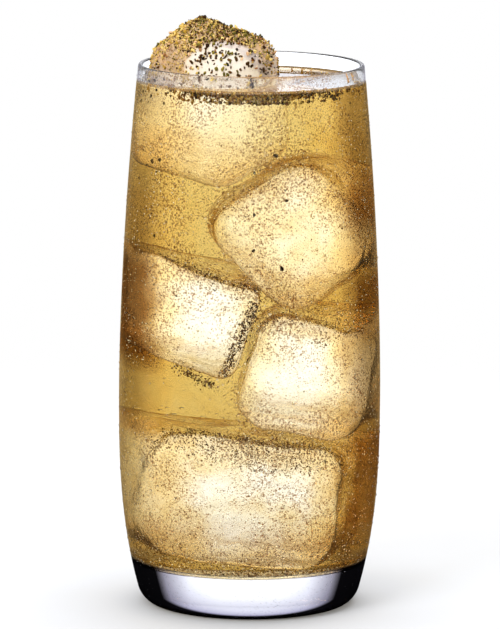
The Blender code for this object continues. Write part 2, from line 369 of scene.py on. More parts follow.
@dataclass(frozen=True)
class SodaLimeGlass:
    """Blown soda-lime glass, fire-polished, cold and beaded with condensation on the outside.

    To the eye it is colourless where it is looked through squarely. Looked at along the wall, the
    eye meets far more glass and the dark sides of the room, so the edges carry painted shade: amber
    brown where the drink is behind them, and black in the thick foot.
    """

    ior: float = 1.52
    large: BeadPattern = BeadPattern(0.9, 0.08, 0.42, 0.06, 0.0)
    small: BeadPattern = BeadPattern(0.48, 0.16, 0.76, 0.03, 0.14, 0.0)
    # Painted shade at the edges: the rim's grey line, the wall's straw, gold and dark brown, and the foot's
    # black sides, its turn to grey and its lowest tone
    rim_edge_shade: str = "#B4AFB4"
    wall_straw_shade: str = "#F7EAC6"
    wall_gold_shade: str = "#EAD1A0"
    wall_dark_shade: str = "#A0784A"
    foot_edge_shade: str = "#0E0D10"
    foot_turn_shade: str = "#ABA8B8"
    foot_low_shade: str = "#E3E2E8"
    # Painted shade in the beads' rims before the drink and above it, and the painted highlight of a lit bead
    ring: str = "#875826"
    rim_ring_shade: str = "#CDB7AC"
    gleam: str = "#FBE6B2"
    shine: str = "#9A8A6C"
    foot_top_mm: float = 13.0
    foot_cover: float = 0.5
    level_mm: float = 140.9
    patch_mm: float = 13.0
    # A spot wiped nearly clear: its middle, where its edge starts and ends, the share of beads left
    wiped_mm: tuple[float, float, float] = (-17.0, -29.0, 58.0)
    wiped_from_mm: float = 8.0
    wiped_to_mm: float = 19.0
    wiped_cover: float = 0.35
    foot_shadow: float = 0.55
    wall_shadow: float = 0.94
    # Noise that makes the painted edge shade uneven: its spacing, and how far it shifts the shade
    shade_wave_mm: float = 9.0
    shade_wave_share: float = 0.16
    # Between which heights the painted edge shade deepens towards the foot, and by how much
    shade_deepens_mm: tuple[float, float] = (56.0, 26.0)
    shade_deepening: float = 0.07
    # Between which heights the foot goes over to its lowest painted shade
    foot_low_mm: tuple[float, float] = (9.0, 0.5)
    # How dark each side's edge draws, by height as a share of the drink's level, and how far to
    # each side of the axis one goes over to the other
    axis_blend_mm: float = 8.0
    left_shade: tuple[tuple[float, float], ...] = (
        (0.12, 0.15),
        (0.30, 0.05),
        (0.36, 0.1),
        (0.46, 0.1),
        (0.50, 0.85),
        (0.66, 0.85),
        (0.70, 0.25),
        (0.80, 0.25),
        (0.85, 0.1),
        (1.0, 0.1),
    )
    right_shade: tuple[tuple[float, float], ...] = (
        (0.12, 0.5),
        (0.18, 0.85),
        (0.33, 0.85),
        (0.36, 0.4),
        (0.56, 0.45),
        (0.59, 0.8),
        (0.63, 0.8),
        (0.66, 0.35),
        (0.72, 0.4),
        (0.76, 0.8),
        (0.80, 0.7),
        (0.85, 0.4),
        (1.0, 0.3),
    )

    def material(self) -> bpy.types.Material:
        """Builds the material."""
        made, tree, output = new_material("soda_lime_glass_beaded")
        geometry = add_node(tree, "NewGeometry")
        place = geometry.outputs["Position"]
        outside = add_node(tree, "Attribute", {"attribute_name": "outside"}).outputs["Fac"]
        height = add_node(tree, "SeparateXYZ", inputs={0: place}).outputs["Z"]
        front = add_node(
            tree,
            "Math",
            {"operation": "SUBTRACT", "use_clamp": True},
            {0: outside, 1: geometry.outputs["Backfacing"]},
        )
        normal, rings, gleam = self.beads(tree, place, front.outputs[0])
        edge = self.painted_edge_shade(tree, place, height)
        # Painted shade: the beads' dark rings darken the painted edge colour
        beaded = add_node(
            tree,
            "Mix",
            {"data_type": "RGBA", "blend_type": "MULTIPLY"},
            {0: rings, 6: edge, 7: self.bead_ring_shade(tree, height)},
        )
        colour = add_node(
            tree, "Mix", {"data_type": "RGBA"}, {0: outside, 6: grey(1.0), 7: beaded.outputs[2]}
        )
        # The reflection is darkened by the same painted edge shade
        shine = add_node(
            tree,
            "Mix",
            {"data_type": "RGBA", "blend_type": "MULTIPLY"},
            {0: outside, 6: self.shine_colour(tree, height, outside), 7: edge},
        )
        refraction = add_node(
            tree,
            "BsdfRefraction",
            inputs={"Color": colour.outputs[2], "Roughness": 0.0, "IOR": self.ior, "Normal": normal},
        )
        gloss = add_node(
            tree, "BsdfGlossy", inputs={"Color": shine.outputs[2], "Roughness": 0.02, "Normal": normal}
        )
        fresnel = add_node(tree, "Fresnel", inputs={"IOR": self.ior, "Normal": normal})
        both = add_node(
            tree,
            "MixShader",
            inputs={0: fresnel.outputs[0], 1: refraction.outputs[0], 2: gloss.outputs[0]},
        )
        # Painted highlight: a diffuse straw patch mixed in where a bead gleams
        lamp = add_node(tree, "BsdfDiffuse", inputs={"Color": self.gleam_colour(tree, height)})
        gleaming = add_node(
            tree, "MixShader", inputs={0: gleam, 1: both.outputs[0], 2: lamp.outputs[0]}
        )
        cast = self.blend_at(
            tree, height, self.foot_top_mm, grey(self.foot_shadow), grey(self.wall_shadow)
        )
        clear = let_light_through(tree, gleaming.outputs[0], cast)
        tree.links.new(clear, output.inputs["Surface"])
        return made

    def beads(
        self, tree: bpy.types.NodeTree, place: bpy.types.NodeSocket, outside: bpy.types.NodeSocket
    ) -> tuple[bpy.types.NodeSocket, bpy.types.NodeSocket, bpy.types.NodeSocket]:
        """The condensation, thick in patches, thin between them and on the foot, and wiped in one spot.

        Args:
            tree: the material's node tree.
            place: the point's place in metres.
            outside: 1 on the outside of the tumbler and 0 inside.

        Returns:
            The sockets of the bumped normal, of the painted dark rings and of the painted gleams.
        """
        patches = add_node(
            tree, "TexNoise", inputs={"Vector": place, "Scale": per_metre(self.patch_mm), "Detail": 2.5}
        )
        spread = add_node(
            tree,
            "MapRange",
            inputs={
                "Value": patches.outputs[0],
                "From Min": 0.36,
                "From Max": 0.54,
                "To Min": 0.5,
                "To Max": 1.0,
            },
        )
        clear_spot = Vector(self.wiped_mm) * MM
        away = add_node(tree, "VectorMath", {"operation": "DISTANCE"}, {0: place, 1: clear_spot})
        left = add_node(
            tree,
            "MapRange",
            {"interpolation_type": "SMOOTHSTEP"},
            {
                "Value": away.outputs["Value"],
                "From Min": self.wiped_from_mm * MM,
                "From Max": self.wiped_to_mm * MM,
                "To Min": self.wiped_cover,
                "To Max": 1.0,
            },
        )
        wet = add_node(
            tree, "Math", {"operation": "MULTIPLY"}, {0: spread.outputs[0], 1: left.outputs[0]}
        )
        on_wall = add_node(
            tree,
            "MapRange",
            {"interpolation_type": "SMOOTHSTEP"},
            {
                "Value": add_node(tree, "SeparateXYZ", inputs={0: place}).outputs["Z"],
                "From Min": (self.foot_top_mm - 2.0) * MM,
                "From Max": (self.foot_top_mm + 1.0) * MM,
                "To Min": self.foot_cover,
                "To Max": 1.0,
            },
        )
        cover = add_node(
            tree, "Math", {"operation": "MULTIPLY"}, {0: wet.outputs[0], 1: on_wall.outputs[0]}
        ).outputs[0]
        high, large_ring, large_gleam = self.large.nodes(tree, place, cover)
        low, small_ring, small_gleam = self.small.nodes(tree, place, cover)
        height = add_node(tree, "Math", {"operation": "ADD"}, {0: high, 1: low})
        outer = add_node(tree, "Math", {"operation": "MULTIPLY"}, {0: height.outputs[0], 1: outside})
        both = add_node(tree, "Math", {"operation": "MAXIMUM"}, {0: large_ring, 1: small_ring})
        rings = add_node(tree, "Math", {"operation": "MULTIPLY"}, {0: both.outputs[0], 1: outside})
        gleams = add_node(tree, "Math", {"operation": "MAXIMUM"}, {0: large_gleam, 1: small_gleam})
        gleam = add_node(tree, "Math", {"operation": "MULTIPLY"}, {0: gleams.outputs[0], 1: outside})
        bump = add_node(tree, "Bump", inputs={"Strength": 1.0, "Distance": 1.0, "Height": outer.outputs[0]})
        return bump.outputs["Normal"], rings.outputs[0], gleam.outputs[0]

    def shine_colour(
        self, tree: bpy.types.NodeTree, height: bpy.types.NodeSocket, outside: bpy.types.NodeSocket
    ) -> bpy.types.NodeSocket:
        """How much the glass mirrors: little before the drink, and hardly at all where it is wet inside.

        Args:
            tree: the material's node tree.
            height: the point's height in metres.
            outside: 1 on the outside of the tumbler and 0 inside.

        Returns:
            The colour's socket.
        """
        wall = add_node(
            tree, "Mix", {"data_type": "RGBA"}, {0: outside, 6: grey(0.08), 7: linear(self.shine)}
        ).outputs[2]
        foot = add_node(
            tree, "Mix", {"data_type": "RGBA"}, {0: outside, 6: grey(1.0), 7: grey(0.6)}
        ).outputs[2]
        lower = self.blend_at(tree, height, self.foot_top_mm, foot, wall)
        return self.blend_at(tree, height, self.level_mm, lower, grey(0.6))

    def gleam_colour(self, tree: bpy.types.NodeTree, height: bpy.types.NodeSocket) -> bpy.types.NodeSocket:
        """The painted highlight that a lit bead shows: straw before the drink, and dull grey on the foot."""
        return self.blend_at(tree, height, self.foot_top_mm, grey(0.12), linear(self.gleam))

    def bead_ring_shade(self, tree: bpy.types.NodeTree, height: bpy.types.NodeSocket) -> bpy.types.NodeSocket:
        """The painted shade in a bead's rim: amber brown before the drink, grey elsewhere."""
        foot = self.blend_at(tree, height, self.foot_top_mm, grey(0.92), linear(self.ring))
        return self.blend_at(tree, height, self.level_mm, foot, linear(self.rim_ring_shade))

    def painted_edge_shade(
        self, tree: bpy.types.NodeTree, place: bpy.types.NodeSocket, height: bpy.types.NodeSocket
    ) -> bpy.types.NodeSocket:
        """What the glass leaves of the light, with painted shade towards its edges and in its foot.

        Args:
            tree: the material's node tree.
            place: the point's place in metres.
            height: its height in metres.

        Returns:
            The colour's socket.
        """
        facing = add_node(tree, "LayerWeight", inputs={"Blend": 0.5}).outputs["Facing"]
        foot = self.foot_painted_shade(tree, facing, height)
        wall = self.wall_painted_shade(tree, facing, place, height)
        rim = ramp(
            add_node(tree, "ValToRGB", inputs={"Fac": facing}),
            [(0.70, grey(1.0)), (0.86, linear(self.rim_edge_shade)), (0.95, grey(1.0))],
        )
        lower = self.blend_at(tree, height, self.foot_top_mm, foot, wall)
        return self.blend_at(tree, height, self.level_mm, lower, rim.outputs[0])

    def wall_painted_shade(
        self,
        tree: bpy.types.NodeTree,
        facing: bpy.types.NodeSocket,
        place: bpy.types.NodeSocket,
        height: bpy.types.NodeSocket,
    ) -> bpy.types.NodeSocket:
        """What the wall before the drink leaves of the light: painted shade, straw, then gold, then brown.

        Args:
            tree: the material's node tree.
            facing: from 0 where the glass faces the eye to 1 at its outline.
            place: the point's place in metres.
            height: its height in metres.

        Returns:
            The colour's socket.
        """
        waves = add_node(
            tree, "TexNoise", inputs={"Vector": place, "Scale": per_metre(self.shade_wave_mm), "Detail": 4.0}
        )
        shift = add_node(
            tree,
            "MapRange",
            inputs={"Value": waves.outputs[0], "To Min": -self.shade_wave_share, "To Max": self.shade_wave_share},
        )
        uneven = add_node(tree, "Math", {"operation": "ADD"}, {0: facing, 1: shift.outputs[0]})
        low_down = add_node(
            tree,
            "MapRange",
            {"interpolation_type": "SMOOTHSTEP"},
            {
                "Value": height,
                "From Min": self.shade_deepens_mm[0] * MM,
                "From Max": self.shade_deepens_mm[1] * MM,
                "To Max": self.shade_deepening,
            },
        )
        turned = add_node(tree, "Math", {"operation": "ADD"}, {0: uneven.outputs[0], 1: low_down.outputs[0]})
        warm_shade = ramp(
            add_node(tree, "ValToRGB", inputs={"Fac": turned.outputs[0]}),
            [
                (0.05, grey(1.0)),
                (0.22, linear(self.wall_straw_shade)),
                (0.42, linear(self.wall_gold_shade)),
                (0.88, linear(self.wall_gold_shade)),
                (0.98, linear(self.wall_straw_shade)),
            ],
        )
        amount = ramp(
            add_node(tree, "ValToRGB", inputs={"Fac": uneven.outputs[0]}),
            [(0.26, grey(0.0)), (0.46, grey(1.0)), (0.88, grey(1.0)), (0.98, grey(0.3))],
        )
        profile = self.wall_shade(tree, place)
        deep = add_node(tree, "MapRange", inputs={"Value": profile, "To Min": 0.3, "To Max": 1.0})
        paler = add_node(
            tree,
            "Mix",
            {"data_type": "RGBA"},
            {0: deep.outputs[0], 6: self.straw_painted_shade(tree, turned.outputs[0]), 7: warm_shade.outputs[0]},
        )
        shade = add_node(tree, "Math", {"operation": "MULTIPLY"}, {0: amount.outputs[0], 1: profile})
        varied = add_node(
            tree,
            "Mix",
            {"data_type": "RGBA", "blend_type": "MULTIPLY"},
            {0: shade.outputs[0], 6: paler.outputs[2], 7: linear(self.wall_dark_shade)},
        )
        return varied.outputs[2]

    def foot_painted_shade(
        self, tree: bpy.types.NodeTree, facing: bpy.types.NodeSocket, height: bpy.types.NodeSocket
    ) -> bpy.types.NodeSocket:
        """What the thick foot leaves of the light: painted shade, black at its sides and greyer low down.

        Args:
            tree: the material's node tree.
            facing: from 0 where the glass faces the eye to 1 at its outline.
            height: the point's height in metres.

        Returns:
            The colour's socket.
        """
        foot = ramp(
            add_node(tree, "ValToRGB", inputs={"Fac": facing}),
            [
                (0.0, grey(0.90)),
                (0.14, grey(0.82)),
                (0.38, linear(self.foot_turn_shade)),
                (0.46, linear(self.foot_edge_shade)),
            ],
        )
        low = add_node(
            tree,
            "MapRange",
            {"interpolation_type": "SMOOTHSTEP"},
            {
                "Value": height,
                "From Min": self.foot_low_mm[0] * MM,
                "From Max": self.foot_low_mm[1] * MM,
            },
        )
        shaded = add_node(
            tree,
            "Mix",
            {"data_type": "RGBA", "blend_type": "MULTIPLY"},
            {0: low.outputs[0], 6: foot.outputs[0], 7: linear(self.foot_low_shade)},
        )
        return shaded.outputs[2]

    def straw_painted_shade(self, tree: bpy.types.NodeTree, turned: bpy.types.NodeSocket) -> bpy.types.NodeSocket:
        """The wall's paler painted shade where ice behind it shortens the way through the drink."""
        tint = ramp(
            add_node(tree, "ValToRGB", inputs={"Fac": turned}),
            [(0.05, grey(1.0)), (0.30, linear(self.wall_straw_shade))],
        )
        return tint.outputs[0]

    def wall_shade(self, tree: bpy.types.NodeTree, place: bpy.types.NodeSocket) -> bpy.types.NodeSocket:
        """How dark the edges of the wall draw: less where ice lies against the glass.

        Args:
            tree: the material's node tree.
            place: the point's place in metres.

        Returns:
            The share's socket.
        """
        axes = add_node(tree, "SeparateXYZ", inputs={0: place})
        up = add_node(
            tree, "Math", {"operation": "DIVIDE"}, {0: axes.outputs["Z"], 1: self.level_mm * MM}
        ).outputs[0]
        sides = [
            ramp(add_node(tree, "ValToRGB", inputs={"Fac": up}), [(z, grey(share)) for z, share in stops])
            for stops in (self.left_shade, self.right_shade)
        ]
        right = add_node(
            tree,
            "MapRange",
            {"interpolation_type": "SMOOTHSTEP"},
            {
                "Value": axes.outputs["X"],
                "From Min": -self.axis_blend_mm * MM,
                "From Max": self.axis_blend_mm * MM,
            },
        )
        mixed = add_node(
            tree,
            "Mix",
            {"data_type": "RGBA"},
            {0: right.outputs[0], 6: sides[0].outputs[0], 7: sides[1].outputs[0]},
        )
        return mixed.outputs[2]

    def blend_at(
        self,
        tree: bpy.types.NodeTree,
        height: bpy.types.NodeSocket,
        border_mm: float,
        below: bpy.types.NodeSocket | Colour,
        above: bpy.types.NodeSocket | Colour,
    ) -> bpy.types.NodeSocket:
        """Goes from one colour to another across a height.

        Args:
            tree: the material's node tree.
            height: the point's height in metres.
            border_mm: the height of the border.
            below: the colour under it.
            above: the colour over it.

        Returns:
            The colour's socket.
        """
        share = add_node(
            tree,
            "MapRange",
            {"interpolation_type": "SMOOTHSTEP"},
            {"Value": height, "From Min": (border_mm - 0.5) * MM, "From Max": (border_mm + 0.5) * MM},
        )
        mixed = add_node(tree, "Mix", {"data_type": "RGBA"}, {0: share.outputs[0], 6: below, 7: above})
        return mixed.outputs[2]


@dataclass(frozen=True)
class AmberDrink:
    """Whisky, lemon and sugar, shaken, strained and topped up: a thin clear amber liquid.

    To the eye its sides have no colour of their own. The light is coloured by its way through it,
    from straw where the way is short to deep gold where no ice shortens it. Looked down on, its open
    surface is a little cloudy with lemon and spice dust.
    """

    ior: float = 1.345
    # What is left of white light after that many millimetres of drink
    through: str = "#C0A35A"
    path_mm: float = 58.0
    cloud: str = "#DBA850"
    cloudiness: float = 0.25
    mirrors_from: float = 0.20

    def material(self) -> bpy.types.Material:
        """Builds the material."""
        made, tree, output = new_material("whisky_and_lemon_clear_amber")
        way = add_node(tree, "SeparateXYZ", inputs={0: add_node(tree, "NewGeometry").outputs["Normal"]})
        open_top = add_node(
            tree, "MapRange", inputs={"Value": way.outputs["Z"], "From Min": 0.3, "From Max": 0.8}
        )
        surface = wet_surface(tree, grey(1.0), self.ior, open_top.outputs[0], self.mirrors_from)
        cloudy = add_node(
            tree,
            "MixShader",
            inputs={0: self.cloud_share(tree, open_top.outputs[0]), 1: surface, 2: self.cloudy_skin(tree)},
        )
        clear = let_light_through(tree, cloudy.outputs[0], grey(1.0))
        tree.links.new(clear, output.inputs["Surface"])
        lost = [-math.log(share) for share in linear(self.through)[:3]]
        strongest = max(lost)
        colour = [1.0 - share / strongest for share in lost]
        density = strongest / (self.path_mm * MM)
        volume = add_node(
            tree, "VolumeAbsorption", inputs={"Color": (*colour, 1.0), "Density": density}
        )
        tree.links.new(volume.outputs[0], output.inputs["Volume"])
        return made

    def cloud_share(
        self, tree: bpy.types.NodeTree, open_top: bpy.types.NodeSocket
    ) -> bpy.types.NodeSocket:
        """How cloudy the surface looks: most from above, and hardly where it is seen along.

        Args:
            tree: the material's node tree.
            open_top: 1 on the open surface and 0 on what lies against glass or ice.

        Returns:
            The share's socket.
        """
        facing = add_node(tree, "LayerWeight", inputs={"Blend": 0.5}).outputs["Facing"]
        from_above = add_node(
            tree,
            "MapRange",
            inputs={"Value": facing, "From Min": 0.9, "From Max": 0.6, "To Max": self.cloudiness},
        )
        share = add_node(tree, "Math", {"operation": "MULTIPLY"}, {0: from_above.outputs[0], 1: open_top})
        return share.outputs[0]

    def cloudy_skin(self, tree: bpy.types.NodeTree) -> bpy.types.NodeSocket:
        """The fine solids at the surface, which scatter light up and down."""
        down = add_node(tree, "BsdfTranslucent", inputs={"Color": linear(self.cloud)})
        up = add_node(tree, "BsdfDiffuse", inputs={"Color": linear(self.cloud)})
        both = add_node(tree, "MixShader", inputs={0: 0.6, 1: down.outputs[0], 2: up.outputs[0]})
        return both.outputs[0]


@dataclass(frozen=True)
class MeltingIce:
    """Block ice, melting: wet, cloudy in the middle and full of fine bubbles along its edges.

    To the eye it is a cream-white body in the amber, with bubbly edges in painted amber shade.
    """

    name: str = "melting_ice_wet"
    ior: float = 1.30
    bubbles: BeadPattern = BeadPattern(0.8, 0.08, 0.44, 0.06)
    patch_mm: float = 11.0
    dent_mm: float = 3.4
    dent_depth_mm: float = 0.15
    mirrors_from: float = 0.6
    milk: float = 0.03
    edge_milk: float = 0.02
    milk_colour: str = "#FDF2EA"
    # Painted shade: the dark ring of a bubble, and the colours that an edge is painted as it turns from the
    # eye
    ring: str = "#8A6836"
    edge: str = "#F7EBD0"
    outline: str = "#B8924C"
    dust: str = "#E6BE5C"
    frost_from_mm: float = 1000.0
    frost_within_mm: float = 1.5
    frost: float = 0.0
    shadow: float = 0.97

    def material(self) -> bpy.types.Material:
        """Builds the material."""
        made, tree, output = new_material(self.name)
        geometry = add_node(tree, "NewGeometry")
        place = geometry.outputs["Position"]
        bubbles_and_edge_shade = self.grain(tree, place, geometry.outputs["Backfacing"])
        high, rings, _ = self.bubbles.nodes(tree, place, bubbles_and_edge_shade)
        normal = self.dented(tree, place, high)
        colour = self.tint(tree, bubbles_and_edge_shade, rings)
        frost = self.frost_share(tree, place)
        clear = wet_surface(tree, colour, self.ior, frost, self.mirrors_from, normal)
        haze = self.haze(tree, bubbles_and_edge_shade, frost)
        milky = add_node(tree, "MixShader", inputs={0: haze, 1: clear, 2: self.skin(tree, colour)})
        lit = let_light_through(tree, milky.outputs[0], grey(self.shadow))
        tree.links.new(lit, output.inputs["Surface"])
        return made

    def grain(
        self, tree: bpy.types.NodeTree, place: bpy.types.NodeSocket, inside: bpy.types.NodeSocket
    ) -> bpy.types.NodeSocket:
        """How thickly the fine bubbles and the painted edge shade lie: along the edges, in patches, on the
        side that is looked at.

        Args:
            tree: the material's node tree.
            place: the point's place in metres.
            inside: 1 where the skin is seen from inside the ice.

        Returns:
            The share's socket.
        """
        front = add_node(tree, "Math", {"operation": "SUBTRACT"}, {0: 1.0, 1: inside}).outputs[0]
        near_edge = add_node(tree, "Attribute", {"attribute_name": "edge"}).outputs["Fac"]
        patches = add_node(
            tree, "TexNoise", inputs={"Vector": place, "Scale": per_metre(self.patch_mm), "Detail": 3.0}
        ).outputs[0]
        rough = add_node(
            tree,
            "MapRange",
            inputs={
                "Value": patches,
                "From Min": 0.36,
                "From Max": 0.66,
                "To Min": -0.6,
                "To Max": 0.5,
            },
        )
        uneven = add_node(
            tree, "Math", {"operation": "ADD", "use_clamp": True}, {0: near_edge, 1: rough.outputs[0]}
        )
        bubbles_and_edge_shade = add_node(tree, "Math", {"operation": "MULTIPLY"}, {0: uneven.outputs[0], 1: front})
        return bubbles_and_edge_shade.outputs[0]

    def dented(
        self, tree: bpy.types.NodeTree, place: bpy.types.NodeSocket, high: bpy.types.NodeSocket
    ) -> bpy.types.NodeSocket:
        """The normal of the skin, with its bubbles and its small dents.

        Args:
            tree: the material's node tree.
            place: the point's place in metres.
            high: the bubbles' height in metres.

        Returns:
            The normal's socket.
        """
        dents = add_node(
            tree, "TexNoise", inputs={"Vector": place, "Scale": per_metre(self.dent_mm), "Detail": 2.0}
        )
        deep = add_node(
            tree, "Math", {"operation": "MULTIPLY"}, {0: dents.outputs[0], 1: self.dent_depth_mm * MM}
        )
        height = add_node(tree, "Math", {"operation": "ADD"}, {0: high, 1: deep.outputs[0]})
        bump = add_node(tree, "Bump", inputs={"Strength": 1.0, "Distance": 1.0, "Height": height.outputs[0]})
        return bump.outputs[0]

    def tint(
        self, tree: bpy.types.NodeTree, bubbles_and_edge_shade: bpy.types.NodeSocket, rings: bpy.types.NodeSocket
    ) -> bpy.types.NodeSocket:
        """What the ice leaves of the light: painted amber shade at its outline, amber under dust, painted
        brown shade in a bubble's ring.

        Args:
            tree: the material's node tree.
            bubbles_and_edge_shade: from 0 in the middle of a face to 1 at its edges.
            rings: 1 in the painted dark ring of a bubble.

        Returns:
            The colour's socket.
        """
        facing = add_node(tree, "LayerWeight", inputs={"Blend": 0.5}).outputs["Facing"]
        # Painted shade: the edges turn amber as they turn from the eye
        outline = ramp(
            add_node(tree, "ValToRGB", inputs={"Fac": facing}),
            [(0.70, linear(self.edge)), (0.90, linear(self.outline))],
        )
        edged = add_node(
            tree, "Mix", {"data_type": "RGBA"}, {0: bubbles_and_edge_shade, 6: grey(1.0), 7: outline.outputs[0]}
        )
        ringed = add_node(
            tree,
            "Mix",
            {"data_type": "RGBA", "blend_type": "MULTIPLY"},
            {0: rings, 6: edged.outputs[2], 7: linear(self.ring)},
        )
        dust = add_node(tree, "Attribute", {"attribute_name": "dust"}).outputs["Fac"]
        dusty = add_node(
            tree,
            "Mix",
            {"data_type": "RGBA", "blend_type": "MULTIPLY"},
            {0: dust, 6: ringed.outputs[2], 7: linear(self.dust)},
        )
        return dusty.outputs[2]

    def frost_share(self, tree: bpy.types.NodeTree, place: bpy.types.NodeSocket) -> bpy.types.NodeSocket:
        """1 on what stands in the air, and 0 on what is sunk.

        Args:
            tree: the material's node tree.
            place: the point's place in metres.

        Returns:
            The share's socket.
        """
        height = add_node(tree, "SeparateXYZ", inputs={0: place}).outputs["Z"]
        share = add_node(
            tree,
            "MapRange",
            {"interpolation_type": "SMOOTHSTEP"},
            {
                "Value": height,
                "From Min": self.frost_from_mm * MM,
                "From Max": (self.frost_from_mm + self.frost_within_mm) * MM,
            },
        )
        return share.outputs[0]

    def haze(
        self, tree: bpy.types.NodeTree, bubbles_and_edge_shade: bpy.types.NodeSocket, dry: bpy.types.NodeSocket
    ) -> bpy.types.NodeSocket:
        """How cloudy the ice is, with frost on what stands in the air.

        Args:
            tree: the material's node tree.
            bubbles_and_edge_shade: from 0 in the middle of a face to 1 at its edges.
            dry: 1 on what stands in the air, and 0 on what is sunk.

        Returns:
            The share's socket.
        """
        haze = add_node(
            tree,
            "MapRange",
            inputs={"Value": bubbles_and_edge_shade, "To Min": self.milk, "To Max": self.edge_milk},
        )
        frost = add_node(tree, "Math", {"operation": "MULTIPLY"}, {0: dry, 1: self.frost})
        both = add_node(
            tree, "Math", {"operation": "ADD", "use_clamp": True}, {0: haze.outputs[0], 1: frost.outputs[0]}
        )
        return both.outputs[0]

    def skin(self, tree: bpy.types.NodeTree, shade: bpy.types.NodeSocket) -> bpy.types.NodeSocket:
        """The cloudy part, which lets light through and sends some back.

        Args:
            tree: the material's node tree.
            shade: what the bubbles and the painted edge shade leave of the light.

        Returns:
            The shader's socket.
        """
        colour = add_node(
            tree,
            "Mix",
            {"data_type": "RGBA", "blend_type": "MULTIPLY"},
            {0: 0.6, 6: linear(self.milk_colour), 7: shade},
        )
        through = add_node(tree, "BsdfTranslucent", inputs={"Color": colour.outputs[2]})
        back = add_node(tree, "BsdfDiffuse", inputs={"Color": colour.outputs[2]})
        both = add_node(tree, "MixShader", inputs={0: 0.5, 1: through.outputs[0], 2: back.outputs[0]})
        return both.outputs[0]


FROSTED_ICE = MeltingIce(
    "melting_ice_frosted",
    milk=0.08,
    edge_milk=0.12,
    milk_colour="#FFF2E8",
    # Paler painted shade for the frosted block: its bubble rings and its edges
    ring="#A8804A",
    edge="#FFFAEE",
    outline="#EEDDB8",
    frost_from_mm=140.5,
    frost=0.6,
)


@dataclass(frozen=True)
class CrackedSpice:
    """Dried spice, coarsely cracked: dull husk with paler broken faces.

    To the eye each crumb has one tone of its own, between the two colours, and no gloss. Thin husk
    glows where the light is behind it.
    """

    name: str
    dark: str
    light: str
    lets_through: float = 0.0
    roughness: float = 0.8
    gloss: float = 0.1

    def material(self) -> bpy.types.Material:
        """Builds the material."""
        made, tree, output = new_material(self.name)
        tone = add_node(tree, "Attribute", {"attribute_name": "tone"})
        colour = add_node(
            tree,
            "Mix",
            {"data_type": "RGBA"},
            {0: tone.outputs["Fac"], 6: linear(self.dark), 7: linear(self.light)},
        )
        husk = add_node(
            tree,
            "BsdfPrincipled",
            inputs={
                "Base Color": colour.outputs[2],
                "Roughness": self.roughness,
                "Specular IOR Level": self.gloss,
            },
        )
        glow = add_node(tree, "BsdfTranslucent", inputs={"Color": colour.outputs[2]})
        both = add_node(
            tree, "MixShader", inputs={0: self.lets_through, 1: husk.outputs[0], 2: glow.outputs[0]}
        )
        tree.links.new(both.outputs[0], output.inputs["Surface"])
        return made


@dataclass(frozen=True)
class WaterBead:
    """Condensed water: to the eye a tiny clear lens that turns what is behind it upside down."""

    ior: float = 1.333

    def material(self) -> bpy.types.Material:
        """Builds the material."""
        made, tree, output = new_material("condensed_water")
        drop = add_node(
            tree, "BsdfGlass", inputs={"Color": grey(1.0), "Roughness": 0.0, "IOR": self.ior}
        )
        lit = let_light_through(tree, drop.outputs[0], grey(1.0))
        tree.links.new(lit, output.inputs["Surface"])
        return made


@dataclass(frozen=True)
class AirBubble:
    """Air in the drink: to the eye a bright point in a dark ring, since light can't enter squarely."""

    drink_ior: float = 1.345

    def material(self) -> bpy.types.Material:
        """Builds the material."""
        made, tree, output = new_material("air_in_the_drink")
        shell = add_node(
            tree, "BsdfGlass", inputs={"Color": grey(1.0), "Roughness": 0.0, "IOR": 1.0 / self.drink_ior}
        )
        lit = let_light_through(tree, shell.outputs[0], grey(1.0))
        tree.links.new(lit, output.inputs["Surface"])
        return made


@dataclass(frozen=True)
class PaleTable:
    """A white laminate table top, matt and faintly mottled, that fades into a white backdrop.

    The fade starts and ends at two distances from the drink, in metres.
    """

    colour: str = "#C6C7CA"
    mottled: Colour = grey(0.54)
    mottle_mm: float = 40.0
    fade_from: float = 0.10
    fade_to: float = 0.38

    def material(self) -> bpy.types.Material:
        """Builds the material."""
        made, tree, output = new_material("white_table")
        place = add_node(tree, "NewGeometry").outputs["Position"]
        mottle = add_node(
            tree, "TexNoise", inputs={"Vector": place, "Scale": per_metre(self.mottle_mm), "Detail": 2.0}
        )
        tone = add_node(
            tree,
            "Mix",
            {"data_type": "RGBA"},
            {0: mottle.outputs[0], 6: linear(self.colour), 7: self.mottled},
        )
        top = add_node(tree, "BsdfDiffuse", inputs={"Color": tone.outputs[2]})
        away = add_node(tree, "VectorMath", {"operation": "LENGTH"}, {0: place})
        fade = add_node(
            tree,
            "MapRange",
            {"interpolation_type": "SMOOTHSTEP"},
            {"Value": away.outputs["Value"], "From Min": self.fade_from, "From Max": self.fade_to},
        )
        sweep = add_node(tree, "BsdfTransparent", inputs={"Color": grey(1.0)})
        both = add_node(
            tree, "MixShader", inputs={0: fade.outputs[0], 1: top.outputs[0], 2: sweep.outputs[0]}
        )
        tree.links.new(both.outputs[0], output.inputs["Surface"])
        return made


